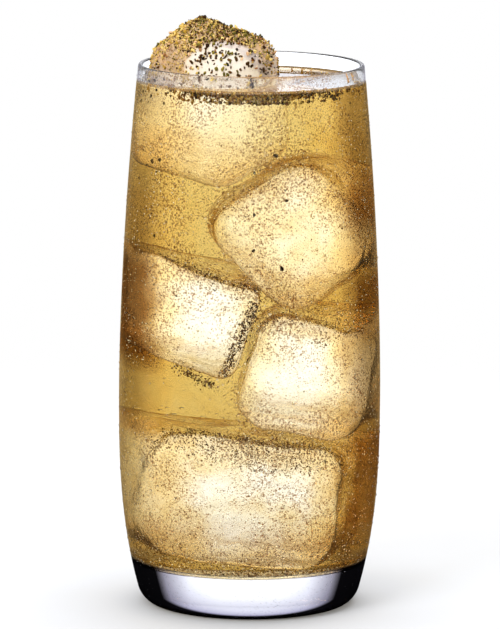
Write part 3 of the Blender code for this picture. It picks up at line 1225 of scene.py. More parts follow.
@dataclass(frozen=True)
class Tumbler:
    """The barrel-shaped tumbler, blown in one piece with a heavy foot."""

    height: float = 145.3 * MM
    belly_radius: float = 35.0 * MM
    belly_height: float = 55.9 * MM
    rim_radius: float = 30.07 * MM
    base_radius: float = 28.53 * MM
    shoulder_power: float = 1.76
    base_power: float = 2.71
    foot_flat_radius: float = 25.4 * MM
    foot_height: float = 4.2 * MM
    wall_at_rim: float = 1.1 * MM
    wall_at_floor: float = 1.9 * MM
    floor_height: float = 11.5 * MM
    floor_flat_radius: float = 24.6 * MM
    floor_corner_height: float = 3.2 * MM
    sides: int = 192
    steps_in_corner: int = 16
    steps_up_wall: int = 96
    steps_over_rim: int = 12

    def plain_outer_radius(self, z: float) -> float:
        """Outside radius of the wall at a height, before the foot is rounded."""
        if z >= self.belly_height:
            share = (z - self.belly_height) / (self.height - self.belly_height)
            return self.belly_radius - (self.belly_radius - self.rim_radius) * share**self.shoulder_power
        share = (self.belly_height - z) / self.belly_height
        return self.belly_radius - (self.belly_radius - self.base_radius) * share**self.base_power

    def plain_inner_radius(self, z: float) -> float:
        """Inside radius of the wall at a height, before the corner of the floor is rounded."""
        share = (z - self.floor_height) / (self.height - self.floor_height)
        wall = self.wall_at_floor + (self.wall_at_rim - self.wall_at_floor) * share
        return self.plain_outer_radius(z) - wall

    def outer_radius(self, z: float) -> float:
        """Outside radius at a height, with the foot's rounding."""
        cut_back = self.plain_outer_radius(0.0) - self.foot_flat_radius
        left = max(0.0, 1 - z / self.foot_height)
        return self.plain_outer_radius(z) - cut_back * (1 - math.sqrt(max(0.0, 1 - left**2)))

    def inner_radius(self, z: float) -> float:
        """Inside radius at a height above the floor, with the corner's rounding."""
        cut_back = self.plain_inner_radius(self.floor_height) - self.floor_flat_radius
        left = min(1.0, max(0.0, 1 - (z - self.floor_height) / self.floor_corner_height))
        return self.plain_inner_radius(z) - cut_back * (1 - math.sqrt(max(0.0, 1 - left**2)))

    def heights(self, low: float, corner: float, top: float) -> list[float]:
        """Heights from a floor to a top, set closer round the corner above the floor.

        Args:
            low: height of the floor.
            corner: height of the corner's rounding.
            top: the last height.

        Returns:
            The heights, from the bottom up.
        """
        turn = self.steps_in_corner
        wall = self.steps_up_wall
        round_part = [low + corner * (1 - math.cos(math.pi / 2 * i / turn)) for i in range(turn)]
        start = low + corner
        return round_part + [start + (top - start) * i / wall for i in range(wall + 1)]

    def rim(self) -> Iterator[tuple[float, float]]:
        """The fire-polished rim, from the inner wall over to the outer wall."""
        half = self.wall_at_rim / 2
        for i in range(1, self.steps_over_rim):
            angle = math.pi * i / self.steps_over_rim
            across = self.rim_radius - half - half * math.cos(angle)
            yield across, self.height - half + half * math.sin(angle)

    def build(self) -> bpy.types.Object:
        """Builds the tumbler, smooth where the CAD solid has facets."""
        rim_foot = self.height - self.wall_at_rim / 2
        up_the_inside = self.heights(self.floor_height, self.floor_corner_height, rim_foot)
        inside = [(self.inner_radius(z), z) for z in up_the_inside]
        outside = [(self.outer_radius(z), z) for z in self.heights(0.0, self.foot_height, rim_foot)]
        section = inside + list(self.rim()) + outside[::-1]
        rings = [circle(r, z, self.sides) for r, z in section]
        made = closed_rings("tumbler", Vector((0, 0, self.floor_height)), rings, Vector((0, 0, 0)))
        mark = made.data.attributes.new("outside", "FLOAT", "POINT")
        for vert, spot in zip(made.data.vertices, mark.data):
            half_way = self.plain_outer_radius(vert.co.z) - self.wall_at_rim / 2
            across = math.hypot(vert.co.x, vert.co.y)
            turned = vert.co.z < self.foot_height and across > self.foot_flat_radius + 0.2 * MM
            spot.value = float(turned or across > half_way)
        return made


@dataclass(frozen=True)
class IceBlock:
    """One block of ice: a melted, dented box."""

    name: str
    size_mm: tuple[float, float, float]
    corner_mm: float
    centre_mm: tuple[float, float, float]
    turn_degrees: tuple[float, float, float]
    # Depth and spacing in millimetres of the dents, and how far they lean inwards
    dents: tuple[tuple[float, float], ...] = ((0.5, 16.0), (0.16, 7.0))
    sunk_in: float = 0.0
    grain: float = 0.15
    grid: int = 40
    glass: Tumbler = Tumbler()
    gap: float = 0.5 * MM
    melted_at_wall: float = 2.5 * MM

    @property
    def size(self) -> Vector:
        """The block's three sides in metres."""
        return Vector(self.size_mm) * MM

    @property
    def place(self) -> Matrix:
        """Where the block lies."""
        turn = Euler([math.radians(a) for a in self.turn_degrees])
        return Matrix.LocRotScale(Vector(self.centre_mm) * MM, turn, None)

    def melted_point(self, unit: Vector) -> Vector:
        """A point of the block's skin.

        Args:
            unit: a point on the cube from -1 to 1.

        Returns:
            The point in the block's own frame.
        """
        corner = self.corner_mm * MM
        half = self.size / 2
        outer = Vector(unit[i] * half[i] for i in range(3))
        core = Vector(max(corner - half[i], min(half[i] - corner, outer[i])) for i in range(3))
        outward = (outer - core).normalized()
        point = core + outward * corner
        dent = sum(
            depth * MM * (noise.noise(point / (wave * MM) + Vector((seed, 0, 0))) - self.sunk_in)
            for seed, (depth, wave) in enumerate(self.dents, 3)
        )
        return point + outward * dent

    def near_edge(self, unit: Vector) -> float:
        """How thick the bubbles and the painted edge shade are at a point: most at its edges.

        Args:
            unit: a point on the cube from -1 to 1.

        Returns:
            A share from the block's own grain in the middle of a face to 1 at an edge.
        """
        across = sorted(abs(unit[i]) for i in range(3))
        edge = smooth_step(0.45, 1.05, (across[0] ** 3 + across[1] ** 3) ** (1 / 3))
        return self.grain + (1.0 - self.grain) * edge

    def skin(self, growth: float = 0.0) -> bmesh.types.BMesh:
        """The block's skin in place.

        Args:
            growth: how far the skin is moved outwards.

        Returns:
            A bmesh that the caller frees.
        """
        shape = bmesh.new()
        bmesh.ops.create_cube(shape, size=2.0)
        bmesh.ops.subdivide_edges(shape, edges=shape.edges[:], cuts=self.grid - 1, use_grid_fill=True)
        mark = shape.verts.layers.float.new("edge")
        for vert in shape.verts:
            vert[mark] = self.near_edge(vert.co)
            vert.co = self.melted_point(vert.co)
        shape.normal_update()
        grown = [vert.co + vert.normal * growth for vert in shape.verts]
        for vert, spot in zip(shape.verts, grown):
            vert.co = spot
        bmesh.ops.transform(shape, matrix=self.place, verts=shape.verts)
        for vert in shape.verts:
            self.keep_off_wall(vert.co, self.gap - growth)
        shape.normal_update()
        return shape

    def keep_off_wall(self, spot: Vector, gap: float) -> None:
        """Pulls a point in where the block would touch the tumbler.

        Args:
            spot: the point, which is changed.
            gap: the least room between the wall and the block.
        """
        across = math.hypot(spot.x, spot.y)
        z = min(self.glass.height, max(self.glass.floor_height, spot.z))
        limit = self.glass.inner_radius(z) - gap
        free = limit - self.melted_at_wall
        if across > free:
            kept = limit - self.melted_at_wall * math.exp((free - across) / self.melted_at_wall)
            spot.x *= kept / across
            spot.y *= kept / across

    def build(self) -> bpy.types.Object:
        """Builds the block."""
        return from_bmesh(self.name, self.skin())

    def distance(self, spot: Vector) -> float:
        """Distance from a point to the block, taken without its dents; negative inside."""
        local = self.place.inverted() @ spot
        over = [abs(local[i]) - (self.size[i] / 2 - self.corner_mm * MM) for i in range(3)]
        outside = Vector(max(0.0, o) for o in over).length
        return outside + min(0.0, max(over)) - self.corner_mm * MM


# The dents of ice that has melted for a while
MELTED = ((1.1, 19.0), (0.5, 8.0), (0.18, 3.2))

# Each block: its sides, the radius of its corners, its centre, its turn, its dents, how far they lean
# inwards, and its bubbles and painted edge shade in the middle of a face
TOP_ICE = IceBlock("ice_block_top", (30.9, 27.1, 38.5), 8.4, (-10.0, -1.8, 135.1), (23.1, 15.6, -32.2))

SUNK_ICE = (
    IceBlock(
        "ice_block_right_upper", (34.0, 46, 32.0), 10.5, (10.6, -0.2, 101.3), (1, 52, 0), MELTED, 0.4, 0.8
    ),
    IceBlock("ice_block_left", (34.0, 53, 26.5), 5.0, (-16.0, -0.4, 81.0), (1, 18, 0), MELTED, 0.4, 0.0),
    IceBlock("ice_block_right_lower", (31, 53, 31), 7.5, (14.2, 0.0, 64.0), (0, 13, 0), MELTED, 0.4, 0.1),
    IceBlock("ice_block_bottom", (50.0, 56, 34.5), 10.0, (-3.4, 0.0, 31.5), (1, 7, 4), MELTED, 0.4, 0.3),
)


@dataclass(frozen=True)
class Drink:
    """The amber drink, from the tumbler's floor up to its level, with hollows where the ice is."""

    glass: Tumbler
    below_rim: float = 5.0 * MM
    meniscus_rise: float = 1.1 * MM
    meniscus_width: float = 1.0 * MM
    creep_up_ice: float = 0.8
    sides: int = 256
    steps_across: int = 84
    crowding_at_wall: float = 1.25

    @property
    def level(self) -> float:
        """Height of the drink's flat surface."""
        return self.glass.height - self.below_rim

    def surface_height(self, x: float, y: float) -> float:
        """Height of the surface, which creeps up the wall and the ice.

        Args:
            x: place to the right of the axis.
            y: place behind the axis.

        Returns:
            The height in metres.
        """
        edge = self.glass.inner_radius(self.level)
        from_wall = max(0.0, edge - math.hypot(x, y))
        from_ice = max(0.0, TOP_ICE.distance(Vector((x, y, self.level))))
        at_wall = math.exp(-from_wall / self.meniscus_width)
        at_ice = math.exp(-from_ice / self.meniscus_width)
        return self.level + self.meniscus_rise * min(1.0, at_wall + self.creep_up_ice * at_ice)

    def surface_rings(self) -> list[Ring]:
        """Rings of the surface, from near the axis to the wall."""
        edge = self.glass.inner_radius(self.level + self.meniscus_rise) + REACH
        count = self.steps_across
        radii = [edge * (1 - (1 - i / count) ** self.crowding_at_wall) for i in range(1, count + 1)]
        rings = []
        for r in radii:
            ring = circle(r, 0.0, self.sides)
            for point in ring:
                point.z = self.surface_height(point.x, point.y)
            rings.append(ring)
        return rings

    def build(self) -> bpy.types.Object:
        """Builds the drink, which reaches just into the glass so that no air shows between them."""
        glass = self.glass
        heights = glass.heights(glass.floor_height, glass.floor_corner_height, self.level)
        sides = [circle(glass.inner_radius(z) + REACH, z - REACH, self.sides) for z in heights]
        rings = self.surface_rings() + sides[::-1]
        body = closed_rings(
            "drink_body",
            Vector((0, 0, self.surface_height(0, 0))),
            rings,
            Vector((0, 0, glass.floor_height - REACH)),
        )
        self.cut_pocket(body)
        self.add_hollows(body)
        return body

    def cut_pocket(self, body: bpy.types.Object) -> None:
        """Cuts the pocket of the block that stands out of the drink."""
        cutter = from_bmesh("pocket", TOP_ICE.skin(-REACH))
        cut = body.modifiers.new("Pocket", "BOOLEAN")
        cut.operation = "DIFFERENCE"
        cut.solver = "EXACT"
        cut.object = cutter
        apply_modifiers(body)
        bpy.data.objects.remove(cutter, do_unlink=True)

    def add_hollows(self, body: bpy.types.Object) -> None:
        """Adds the hollows of the sunk blocks, a hair smaller than the blocks that fill them."""
        shape = bmesh.new()
        shape.from_mesh(body.data)
        for block in SUNK_ICE:
            hollow = block.skin(-REACH)
            bmesh.ops.reverse_faces(hollow, faces=hollow.faces)
            skin = bpy.data.meshes.new("hollow")
            hollow.to_mesh(skin)
            hollow.free()
            shape.from_mesh(skin)
            bpy.data.meshes.remove(skin)
        shape.to_mesh(body.data)
        shape.free()
        body.data.shade_smooth()


@dataclass(frozen=True)
class Radii:
    """How large many small round things are: most are little larger than the least."""

    least_mm: float
    mean_over_mm: float
    most_mm: float

    def pick(self, draw: random.Random, share: float = 1.0, extra_mm: float = 0.0) -> float:
        """One radius.

        Args:
            draw: where the random numbers come from.
            share: what the radius is multiplied by.
            extra_mm: what is added to it then.

        Returns:
            The radius in metres.
        """
        size_mm = (self.least_mm + draw.expovariate(1 / self.mean_over_mm)) * share + extra_mm
        return min(self.most_mm, size_mm) * MM


@dataclass
class Scatter:
    """Many small solids of one kind, gathered into one mesh."""

    name: str
    subdivisions: int = 1
    roughness: float = 0.25
    variants: int = 8
    seed: int = SEED
    points: list[np.ndarray] = field(default_factory=list)
    faces: list[np.ndarray] = field(default_factory=list)
    tones: list[float] = field(default_factory=list)

    def __post_init__(self) -> None:
        """Makes the few solids that all the others are copies of."""
        draw = random.Random(self.seed)
        self.solids = []
        for _ in range(self.variants):
            shape = bmesh.new()
            bmesh.ops.create_icosphere(shape, subdivisions=self.subdivisions, radius=1.0)
            for vert in shape.verts:
                vert.co *= draw.uniform(1 - self.roughness, 1.0)
            corners = np.array([vert.co for vert in shape.verts])
            triangles = np.array([[vert.index for vert in face.verts] for face in shape.faces])
            shape.free()
            self.solids.append((corners, triangles))
        self.count = 0

    def add(self, place: Vector, turn: Matrix, stretch: Sequence[float], tone: float) -> None:
        """Adds one solid.

        Args:
            place: its centre.
            turn: its rotation.
            stretch: its radii along its own three axes.
            tone: a number from 0 to 1 that its finish reads as its shade.
        """
        corners, triangles = self.solids[len(self.tones) % self.variants]
        placed = (corners * np.array(stretch)) @ np.array(turn.to_3x3()).T + np.array(place)
        self.points.append(placed)
        self.faces.append(triangles + self.count)
        self.count += len(corners)
        self.tones.append(tone)

    def build(self, smooth: bool) -> bpy.types.Object:
        """Builds the mesh.

        Args:
            smooth: True for drops and bubbles, False for broken crumbs.

        Returns:
            The object.
        """
        mesh = bpy.data.meshes.new(self.name)
        mesh.from_pydata(np.concatenate(self.points), [], np.concatenate(self.faces).tolist())
        each = len(self.solids[0][0])
        tone = mesh.attributes.new("tone", "FLOAT", "POINT")
        tone.data.foreach_set("value", np.repeat(np.array(self.tones, dtype=np.float32), each))
        made = mesh_object(self.name, mesh)
        if not smooth:
            mesh.shade_flat()
        return made


class Spice(Enum):
    """The kinds of crumb in the spice mix."""

    PEPPER = CrackedSpice("black_pepper_cracked", "#140D06", "#5A3A18")
    GOLD = CrackedSpice("mustard_husk_gold", "#B48C30", "#F2D684", 0.2)
    TAN = CrackedSpice("cracked_seed_tan", "#8A5626", "#E6BE90", 0.2)
    OLIVE = CrackedSpice("dried_herb_olive", "#33300E", "#8C7C34")
    # Painted light: these two are lighter copies of the pepper and the gold husk, for crumbs in the drink's
    # dim light
    SOAKED = CrackedSpice("soaked_pepper_painted_lighter", "#40240A", "#A06A2C", 0.25)
    WET_HUSK = CrackedSpice("wet_mustard_husk_painted_lighter", "#C88A24", "#FFE07E", 0.35)


# Dark flecks against the front wall: how far to the right, how high, and their radius
FRONT_FLECKS_MM = (
    (6.5, 124.7, 0.75),
    (0.9, 120.3, 0.45),
    (9.2, 112.8, 0.5),
    (9.0, 115.6, 0.35),
    (0.9, 109.3, 0.55),
    (-25.3, 121.3, 0.7),
    (-23.4, 122.0, 0.65),
    (-26.6, 120.2, 0.45),
    (-24.2, 118.9, 0.4),
    (-27.4, 123.6, 0.35),
    (-25.6, 138.2, 0.7),
    (-27.6, 138.9, 0.5),
    (-22.4, 136.9, 0.5),
    (-24.7, 102.0, 0.4),
    (8.2, 95.1, 0.6),
    (0.9, 100.0, 0.5),
    (-18.9, 87.0, 0.4),
    (-27.2, 143.6, 0.6),
    (-28.2, 141.2, 0.55),
    (-24.9, 142.4, 0.5),
    (-24.3, 140.0, 0.45),
    (-28.0, 136.2, 0.5),
    (-26.3, 142.0, 0.4),
    (-21.2, 141.0, 0.5),
    (-22.5, 143.2, 0.4),
)

# How many crumbs lie on each of the sunk blocks
SETTLED_ON_ICE = (160, 420, 420, 1700)

# Rows of trapped crumbs at the front wall: both ends (to the right and up), their width, their number
TRAPPED_MM = (
    ((1.5, 86.0), (-6.5, 67.5), 1.7, 460),
    ((-18.5, 68.5), (-9.0, 63.5), 1.5, 190),
)

# How much of each kind there is, in the order of the enum, in five places
AFLOAT_MIX = (1.2, 0.4, 1.4, 0.2, 1.3, 3.2)
TRAPPED_MIX = (0.9, 0.0, 0.5, 0.2, 2.6, 0.3)
FLOOR_MIX = (0.0, 0.3, 1.4, 0.2, 2.2, 0.7)
SUNK_ICE_MIX = (0.3, 0.2, 0.7, 0.3, 2.5, 0.3)
ADRIFT_MIX = (0.0, 0.0, 0.6, 0.0, 3.0, 0.2)

# The least and the largest radius of the crumbs in the last four of those places
TRAPPED_RADII_MM = (0.18, 0.56)
FLOOR_RADII_MM = (0.16, 0.5)
SUNK_ICE_RADII_MM = (0.14, 0.42)
ADRIFT_RADII_MM = (0.12, 0.42)

# A crumb's second and third radius as shares of its first
CRUMB_FLATNESS = ((0.45, 0.95), (0.35, 0.8))

# How widely the floating crumbs are spread round the front, in radians, and the share of each spread
AFLOAT_SPREADS = (0.16, 0.46, 3.0)
AFLOAT_SHARES = (0.34, 0.54, 0.12)


@dataclass
class SpiceDust:
    """The coarse spice on the ice, afloat at the wall and adrift in the drink."""

    drink: Drink
    on_ice: int = 6500
    afloat: int = 1700
    adrift: int = 90
    settled: int = 420
    fleck_size: float = 1.5
    ice_radii: Radii = Radii(0.25, 0.16, 0.95)
    afloat_radii: Radii = Radii(0.42, 0.22, 1.2)
    bare_centre_mm: tuple[float, float] = (-7.5, 146.5)
    bare_radii_mm: tuple[float, float] = (10.5, 6.2)

    def __post_init__(self) -> None:
        """Sets up one mesh for each kind of crumb."""
        self.draw = random.Random(SEED)
        self.kinds = {
            kind: Scatter("spice_" + kind.name.lower(), roughness=0.5, variants=16) for kind in Spice
        }

    def pick(self, weights: Sequence[float]) -> Spice:
        """One kind of crumb, drawn by weight in the order of the enum."""
        return self.draw.choices(list(Spice), weights)[0]

    def crumb(self, kind: Spice, place: Vector, radius: float) -> None:
        """Adds one crumb, turned at random and a little flat."""
        turn = Euler([self.draw.uniform(0, math.tau) for _ in range(3)]).to_matrix()
        stretch = [radius, *(radius * self.draw.uniform(*shares) for shares in CRUMB_FLATNESS)]
        self.kinds[kind].add(place, turn, stretch, self.draw.random())

    def dusting(self, spot: Vector, normal: Vector) -> float:
        """How thickly the spice lies at a point of the top block.

        Args:
            spot: the point.
            normal: which way the ice faces there.

        Returns:
            A share from 0 to 1: thick along the crest and down the left, thin on the front.
        """
        thick = 0.25 + 0.75 * smooth_step(-0.2, 0.5, normal.z)
        thick *= 1.0 - 0.65 * smooth_step(-2.0, 6.0, spot.x / MM)
        return thick * (1.0 - 0.88 * self.bare_share(spot, normal))

    def from_bare(self, spot: Vector) -> float:
        """How far a point lies from the middle of the bare patch at the front, whose edge is 1."""
        across = (spot.x / MM - self.bare_centre_mm[0]) / self.bare_radii_mm[0]
        up = (spot.z / MM - self.bare_centre_mm[1]) / self.bare_radii_mm[1]
        return across**2 + up**2

    def bare_share(self, spot: Vector, normal: Vector) -> float:
        """1 in the bare patch at the front and 0 outside it."""
        if normal.y >= 0.25:
            return 0.0
        return 1.0 - smooth_step(0.75, 1.15, self.from_bare(spot))

    def spot_among(self, corners: Sequence[Vector]) -> Vector:
        """A place drawn at random between the corners of a face."""
        shares = [self.draw.expovariate(1.0) for _ in corners]
        return sum((c * s for c, s in zip(corners, shares)), Vector()) / sum(shares)

    def mark_dust(self, mesh: bpy.types.Mesh) -> None:
        """Marks how much fine dust lies on each point of the block that stands out."""
        dust = mesh.attributes.new("dust", "FLOAT", "POINT")
        for vert, mark in zip(mesh.vertices, dust.data):
            dry_share = smooth_step(self.drink.level, self.drink.level + 2 * MM, vert.co.z)
            mark.value = dry_share * smooth_step(0.15, 0.7, self.dusting(vert.co, vert.normal))

    def dust_ice(self, ice: bpy.types.Object) -> None:
        """Strews the spice over the part of the block that stands out."""
        mesh = ice.data
        dry = [face for face in mesh.polygons if face.center.z > self.drink.level + 0.6 * MM]
        weights = [face.area for face in dry]
        placed = 0
        while placed < self.on_ice:
            face = self.draw.choices(dry, weights)[0]
            if self.draw.random() > self.dusting(face.center, face.normal):
                continue
            spot = self.spot_among([mesh.vertices[i].co for i in face.vertices])
            self.crumb_on_ice(face, spot)
            placed += 1

    def crumb_on_ice(self, face: bpy.types.MeshPolygon, spot: Vector) -> None:
        """Adds one crumb: finer and more golden at the left, larger and darker on the bare patch.

        Args:
            face: the face of the ice that it lies on.
            spot: the place on that face.
        """
        left = smooth_step(-12.0, -19.0, face.center.x / MM)
        right = smooth_step(0.0, 7.0, face.center.x / MM)
        bare = self.bare_share(face.center, face.normal)
        radius = self.ice_radii.pick(self.draw, share=1.0 - 0.25 * left, extra_mm=0.32 * bare)
        lift = self.draw.uniform(0.1, 0.9) * radius
        pepper = 2.4 - 1.9 * left + 1.5 * bare - 1.5 * right
        gold = 1.5 + 1.7 * left - 0.4 * bare
        tan = 0.6 + 1.3 * right
        olive = 1.6 - 1.0 * left - 0.8 * right
        kind = self.pick((pepper, gold, tan, olive, 0.0, 0.0))
        self.crumb(kind, spot + face.normal * lift, radius)

    def short_way(self, mean_mm: float, most_mm: float) -> float:
        """A distance in metres, drawn at random: mostly short and never over the most."""
        return min(most_mm, self.draw.expovariate(1 / mean_mm)) * MM

    def float_at_wall(self) -> None:
        """Gathers the crumbs that float at the wall in a narrow band, thickest at the front."""
        placed = 0
        while placed < self.afloat:
            spread = self.draw.choices(AFLOAT_SPREADS, AFLOAT_SHARES)[0]
            angle = self.draw.gauss(-math.pi / 2 + 0.08, spread)
            radius = self.afloat_radii.pick(self.draw)
            depth = self.short_way(0.9, 2.8)
            z = self.drink.level + self.drink.meniscus_rise * 0.6 - depth
            edge = self.drink.glass.inner_radius(z) - radius - 0.05 * MM
            r = edge - self.short_way(0.6, 4.0)
            spot = Vector((r * math.cos(angle), r * math.sin(angle), z))
            if depth < 1.0 * MM:
                spot.z = self.drink.surface_height(spot.x, spot.y) - depth * 0.4
            if TOP_ICE.distance(spot) < 0.2 * MM:
                continue
            self.crumb(self.pick(AFLOAT_MIX), spot, radius)
            placed += 1

    def at_front_wall(self, x: float, z: float, radius: float) -> Vector:
        """A place just inside the front of the tumbler."""
        room = self.drink.glass.inner_radius(z) - radius - 0.1 * MM
        return Vector((x, -math.sqrt(max(0.0, room**2 - x**2)), z))

    def flake(self, x: float, z: float, radius: float) -> None:
        """Adds a dark flake that lies flat against the front wall."""
        spot = self.at_front_wall(x, z, 0.3 * radius)
        outward = Vector((spot.x, spot.y, 0.0)).to_track_quat("Z", "Y").to_matrix()
        turn = outward @ Matrix.Rotation(self.draw.uniform(0, math.tau), 3, "Z")
        stretch = (radius, radius * self.draw.uniform(0.65, 0.95), radius * 0.3)
        self.kinds[Spice.PEPPER].add(spot, turn, stretch, self.draw.uniform(0.0, 0.35))

    def cling(self) -> None:
        """Adds the flecks that cling to the front wall and those trapped beside the left block."""
        for x, z, size in FRONT_FLECKS_MM:
            self.flake(x * MM, z * MM, size * self.fleck_size * MM)
        for (start_x, start_z), (end_x, end_z), spread, count in TRAPPED_MM:
            for _ in range(count):
                share = self.draw.random()
                x = (start_x + (end_x - start_x) * share + self.draw.gauss(0, spread * 0.5)) * MM
                z = (start_z + (end_z - start_z) * share + self.draw.gauss(0, spread * 0.5)) * MM
                radius = self.draw.uniform(*TRAPPED_RADII_MM) * MM
                kind = self.pick(TRAPPED_MIX)
                self.crumb(kind, self.at_front_wall(x, z, radius), radius)

    def settle(self) -> None:
        """Lets some crumbs lie on the floor by the front wall."""
        for _ in range(self.settled):
            angle = self.draw.gauss(-math.pi / 2 + 0.12, 0.55)
            radius = self.draw.uniform(*FLOOR_RADII_MM) * MM
            z = self.drink.glass.floor_height + self.short_way(0.9, 3.5) + radius
            r = self.drink.glass.inner_radius(z) - radius - self.short_way(1.0, 4.0)
            spot = Vector((r * math.cos(angle), r * math.sin(angle), z))
            if SUNK_ICE[-1].distance(spot) > 0.3 * MM:
                self.crumb(self.pick(FLOOR_MIX), spot, radius)

    def settle_on_ice(self) -> None:
        """Lets fine spice lie on the tops of the sunk blocks, most of it along their front edges."""
        for block, count in zip(SUNK_ICE, SETTLED_ON_ICE):
            shape = block.skin(0.0)
            tops = [face for face in shape.faces if face.normal.z > 0.3]
            weights = [
                face.calc_area() * smooth_step(-10 * MM, -24 * MM, face.calc_center_median().y)
                for face in tops
            ]
            for face in self.draw.choices(tops, weights, k=count):
                radius = self.draw.uniform(*SUNK_ICE_RADII_MM) * MM
                on_skin = self.spot_among([vert.co for vert in face.verts])
                spot = on_skin + face.normal * (radius + 0.1 * MM)
                if math.hypot(spot.x, spot.y) + radius < self.drink.glass.inner_radius(spot.z):
                    self.crumb(self.pick(SUNK_ICE_MIX), spot, radius)
            shape.free()

    def drift(self) -> None:
        """Lets a few flecks hang in the drink, most of them high up and near the front."""
        placed = 0
        while placed < self.adrift:
            z = self.drink.level - min(112.0, 2.0 + self.draw.expovariate(1 / 30.0)) * MM
            angle = self.draw.gauss(-math.pi / 2, 0.9)
            edge = self.drink.glass.inner_radius(z)
            r = edge - (0.6 + min(18.0, self.draw.expovariate(1 / 5.0))) * MM
            spot = Vector((r * math.cos(angle), r * math.sin(angle), z))
            if min(block.distance(spot) for block in (TOP_ICE, *SUNK_ICE)) < 0.4 * MM:
                continue
            radius = self.draw.uniform(*ADRIFT_RADII_MM) * MM
            self.crumb(self.pick(ADRIFT_MIX), spot, radius)
            placed += 1

    def build(self, ice: bpy.types.Object) -> None:
        """Builds and dresses the crumbs, one piece for each kind."""
        self.mark_dust(ice.data)
        self.dust_ice(ice)
        self.float_at_wall()
        self.cling()
        self.settle()
        self.settle_on_ice()
        self.drift()
        for kind, scatter in self.kinds.items():
            dress(scatter.build(smooth=False), kind.value.material(), "ice")


@dataclass
class Condensation:
    """Beads of water on the outside of the cold tumbler."""

    glass: Tumbler
    beads: int = 2450
    on_foot: float = 0.15
    beaded_mm: tuple[float, float] = (3.0, 143.0)
    wettest_mm: tuple[float, float] = (13.5, 50.0)
    wettest_share: float = 0.4
    radii: Radii = Radii(0.13, 0.06, 0.42)
    flatness: float = 0.55

    def build(self) -> None:
        """Builds and dresses the beads that are large enough to see, few of them on the foot."""
        draw = random.Random(SEED + 1)
        drops = Scatter("condensation_beads", subdivisions=2, roughness=0.04, variants=4)
        step = 0.2 * MM
        for _ in range(self.beads):
            low, high = self.wettest_mm if draw.random() < self.wettest_share else self.beaded_mm
            z = draw.uniform(low, high) * MM
            if z < self.glass.floor_height and draw.random() > self.on_foot:
                continue
            angle = draw.uniform(0, math.tau)
            r = self.glass.outer_radius(z)
            slope = (self.glass.outer_radius(z + step) - r) / step
            outward = Vector((math.cos(angle), math.sin(angle), -slope)).normalized()
            radius = self.radii.pick(draw)
            spot = Vector((r * math.cos(angle), r * math.sin(angle), z))
            turn = outward.to_track_quat("Z", "Y").to_matrix()
            drops.add(spot, turn, (radius, radius, radius * self.flatness), draw.random())
        dress(drops.build(smooth=True), WaterBead().material(), "clear_glass")


@dataclass
class Bubbles:
    """Fine air bubbles that cling to the ice under the surface."""

    drink: Drink
    count: int = 2200
    below_level: float = 2.0 * MM
    patch: float = 7.0 * MM
    radii: Radii = Radii(0.10, 0.07, 0.5)
    off_ice: float = 0.12 * MM
    off_wall: float = 0.15 * MM

    def build(self) -> None:
        """Builds and dresses the bubbles."""
        draw = random.Random(SEED + 2)
        air = Scatter("air_bubbles", subdivisions=2, roughness=0.02, variants=4)
        skins = []
        for block in (TOP_ICE, *SUNK_ICE):
            shape = block.skin(0.0)
            for face in shape.faces:
                if face.calc_center_median().z < self.drink.level - self.below_level:
                    skins.append((face.calc_center_median(), face.normal.copy()))
            shape.free()
        placed = 0
        while placed < self.count:
            spot, normal = draw.choice(skins)
            thickness = noise.noise(spot / self.patch)
            if draw.random() > smooth_step(0.0, 0.45, thickness):
                continue
            radius = self.radii.pick(draw)
            place = spot + normal * (radius + self.off_ice)
            reach = math.hypot(place.x, place.y) + radius + self.off_wall
            if reach > self.drink.glass.inner_radius(place.z):
                continue
            air.add(place, Matrix.Identity(3), (radius, radius, radius), draw.random())
            placed += 1
        dress(air.build(smooth=True), AirBubble().material(), "amber_drink")


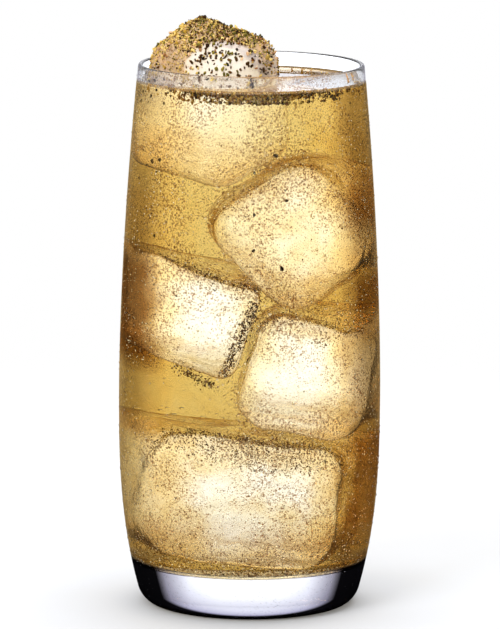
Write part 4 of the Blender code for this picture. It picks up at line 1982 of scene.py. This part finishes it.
@dataclass(frozen=True)
class Studio:
    """The white table and backdrop, the soft lights and the camera."""

    aim: Vector = Vector((0.0, 0.0, 0.07775))
    distance: float = 1.5623
    elevation_degrees: float = 9.34
    roll_degrees: float = 0.32
    lens_mm: float = 334.5
    sensor_mm: float = 36.0
    table_drop: float = 0.05 * MM
    backlight: Colour = (1.84, 1.90, 2.04, 1.0)
    dim_side: Colour = grey(0.85)
    share_on_matt: float = 0.5

    def build(self) -> None:
        """Sets up the whole studio."""
        self.table()
        self.backdrop()
        self.lights()
        self.camera()
        settings = bpy.context.scene.cycles
        settings.transparent_max_bounces = 32
        settings.max_bounces = 24
        settings.transmission_bounces = 24
        settings.glossy_bounces = 8
        settings.caustics_refractive = False
        settings.caustics_reflective = False
        view = bpy.context.scene.view_settings
        view.view_transform = "Standard"
        view.look = "None"

    def table(self) -> None:
        """The table top."""
        shape = bmesh.new()
        bmesh.ops.create_grid(shape, x_segments=8, y_segments=8, size=1.0)
        top = from_bmesh("table_top", shape)
        top.location.z = -self.table_drop
        top.data.materials.append(PaleTable().material())

    def backdrop(self) -> None:
        """The backdrop all round: plain white to the camera, and bright with dimmer sides as a light."""
        world = bpy.data.worlds.new("studio")
        bpy.context.scene.world = world
        world.use_nodes = True
        tree = world.node_tree
        tree.nodes.clear()
        rays = add_node(tree, "LightPath")
        way = add_node(tree, "SeparateXYZ", inputs={0: add_node(tree, "TexCoord").outputs["Generated"]})
        aside = add_node(tree, "Math", {"operation": "ABSOLUTE"}, {0: way.outputs["X"]})
        dim = ramp(
            add_node(tree, "ValToRGB", inputs={"Fac": aside.outputs[0]}),
            [(0.38, self.backlight), (0.62, self.dim_side), (0.88, self.dim_side), (0.96, self.backlight)],
        )
        downward = add_node(
            tree,
            "MapRange",
            {"interpolation_type": "SMOOTHSTEP"},
            {"Value": way.outputs["Z"], "From Min": -0.19, "From Max": -0.30},
        )
        around = add_node(
            tree, "Mix", {"data_type": "RGBA"}, {0: downward.outputs[0], 6: dim.outputs[0], 7: self.backlight}
        )
        power = add_node(
            tree,
            "MapRange",
            inputs={
                "Value": rays.outputs["Is Diffuse Ray"],
                "To Min": 1.0,
                "To Max": self.share_on_matt,
            },
        )
        light = add_node(
            tree, "Background", inputs={"Color": around.outputs[2], "Strength": power.outputs[0]}
        )
        seen = add_node(tree, "Background", inputs={"Color": grey(1.0), "Strength": 1.0})
        mixed = add_node(
            tree,
            "MixShader",
            inputs={0: rays.outputs["Is Camera Ray"], 1: light.outputs[0], 2: seen.outputs[0]},
        )
        output = add_node(tree, "OutputWorld")
        tree.links.new(mixed.outputs[0], output.inputs["Surface"])

    def lights(self) -> None:
        """A large soft light overhead and a soft one at the front left."""
        self.soft_light("overhead", place=Vector((0.1, 0.25, 1.3)), size=1.2, watts=20.0)
        self.soft_light("front_left", place=Vector((-0.9, -1.1, 0.8)), size=0.7, watts=21.0)

    def soft_light(self, name: str, place: Vector, size: float, watts: float) -> None:
        """One square soft light that looks at the drink.

        Args:
            name: the light's name.
            place: where it stands.
            size: the length of its side.
            watts: its power.
        """
        data = bpy.data.lights.new(name, "AREA")
        data.size = size
        data.energy = watts
        light = bpy.data.objects.new(name, data)
        light.visible_glossy = False
        light.location = place
        light.rotation_euler = (self.aim - place).to_track_quat("-Z", "Y").to_euler()
        bpy.context.scene.collection.objects.link(light)

    def camera(self) -> None:
        """The camera, where the photograph was taken from."""
        tilt = math.radians(self.elevation_degrees)
        back = Vector((0.0, -math.cos(tilt), math.sin(tilt)))
        data = bpy.data.cameras.new("camera")
        data.lens = self.lens_mm
        data.sensor_width = self.sensor_mm
        data.sensor_fit = "AUTO"
        data.clip_end = 20.0
        made = bpy.data.objects.new("camera", data)
        made.location = self.aim + back * self.distance
        facing = (-back).to_track_quat("-Z", "Y")
        roll = Matrix.Rotation(math.radians(self.roll_degrees), 4, "Z")
        made.matrix_world = Matrix.Translation(made.location) @ facing.to_matrix().to_4x4() @ roll
        bpy.context.scene.collection.objects.link(made)
        bpy.context.scene.camera = made


def main() -> None:
    """Builds the drink in order and writes how large it came out."""
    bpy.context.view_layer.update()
    glass = Tumbler()
    dress(glass.build(), SodaLimeGlass().material(), "clear_glass", "glass")
    drink = Drink(glass)
    dress(drink.build(), AmberDrink().material(), "amber_drink", "drink")
    top = TOP_ICE.build()
    dress(top, FROSTED_ICE.material(), "ice", "ice_top")
    sunk = MeltingIce().material()
    for block in SUNK_ICE:
        dress(block.build(), sunk, "ice")
    SpiceDust(drink).build(top)
    Condensation(glass).build()
    Bubbles(drink).build()
    Studio().build()


if __name__ == "__main__":
    main()
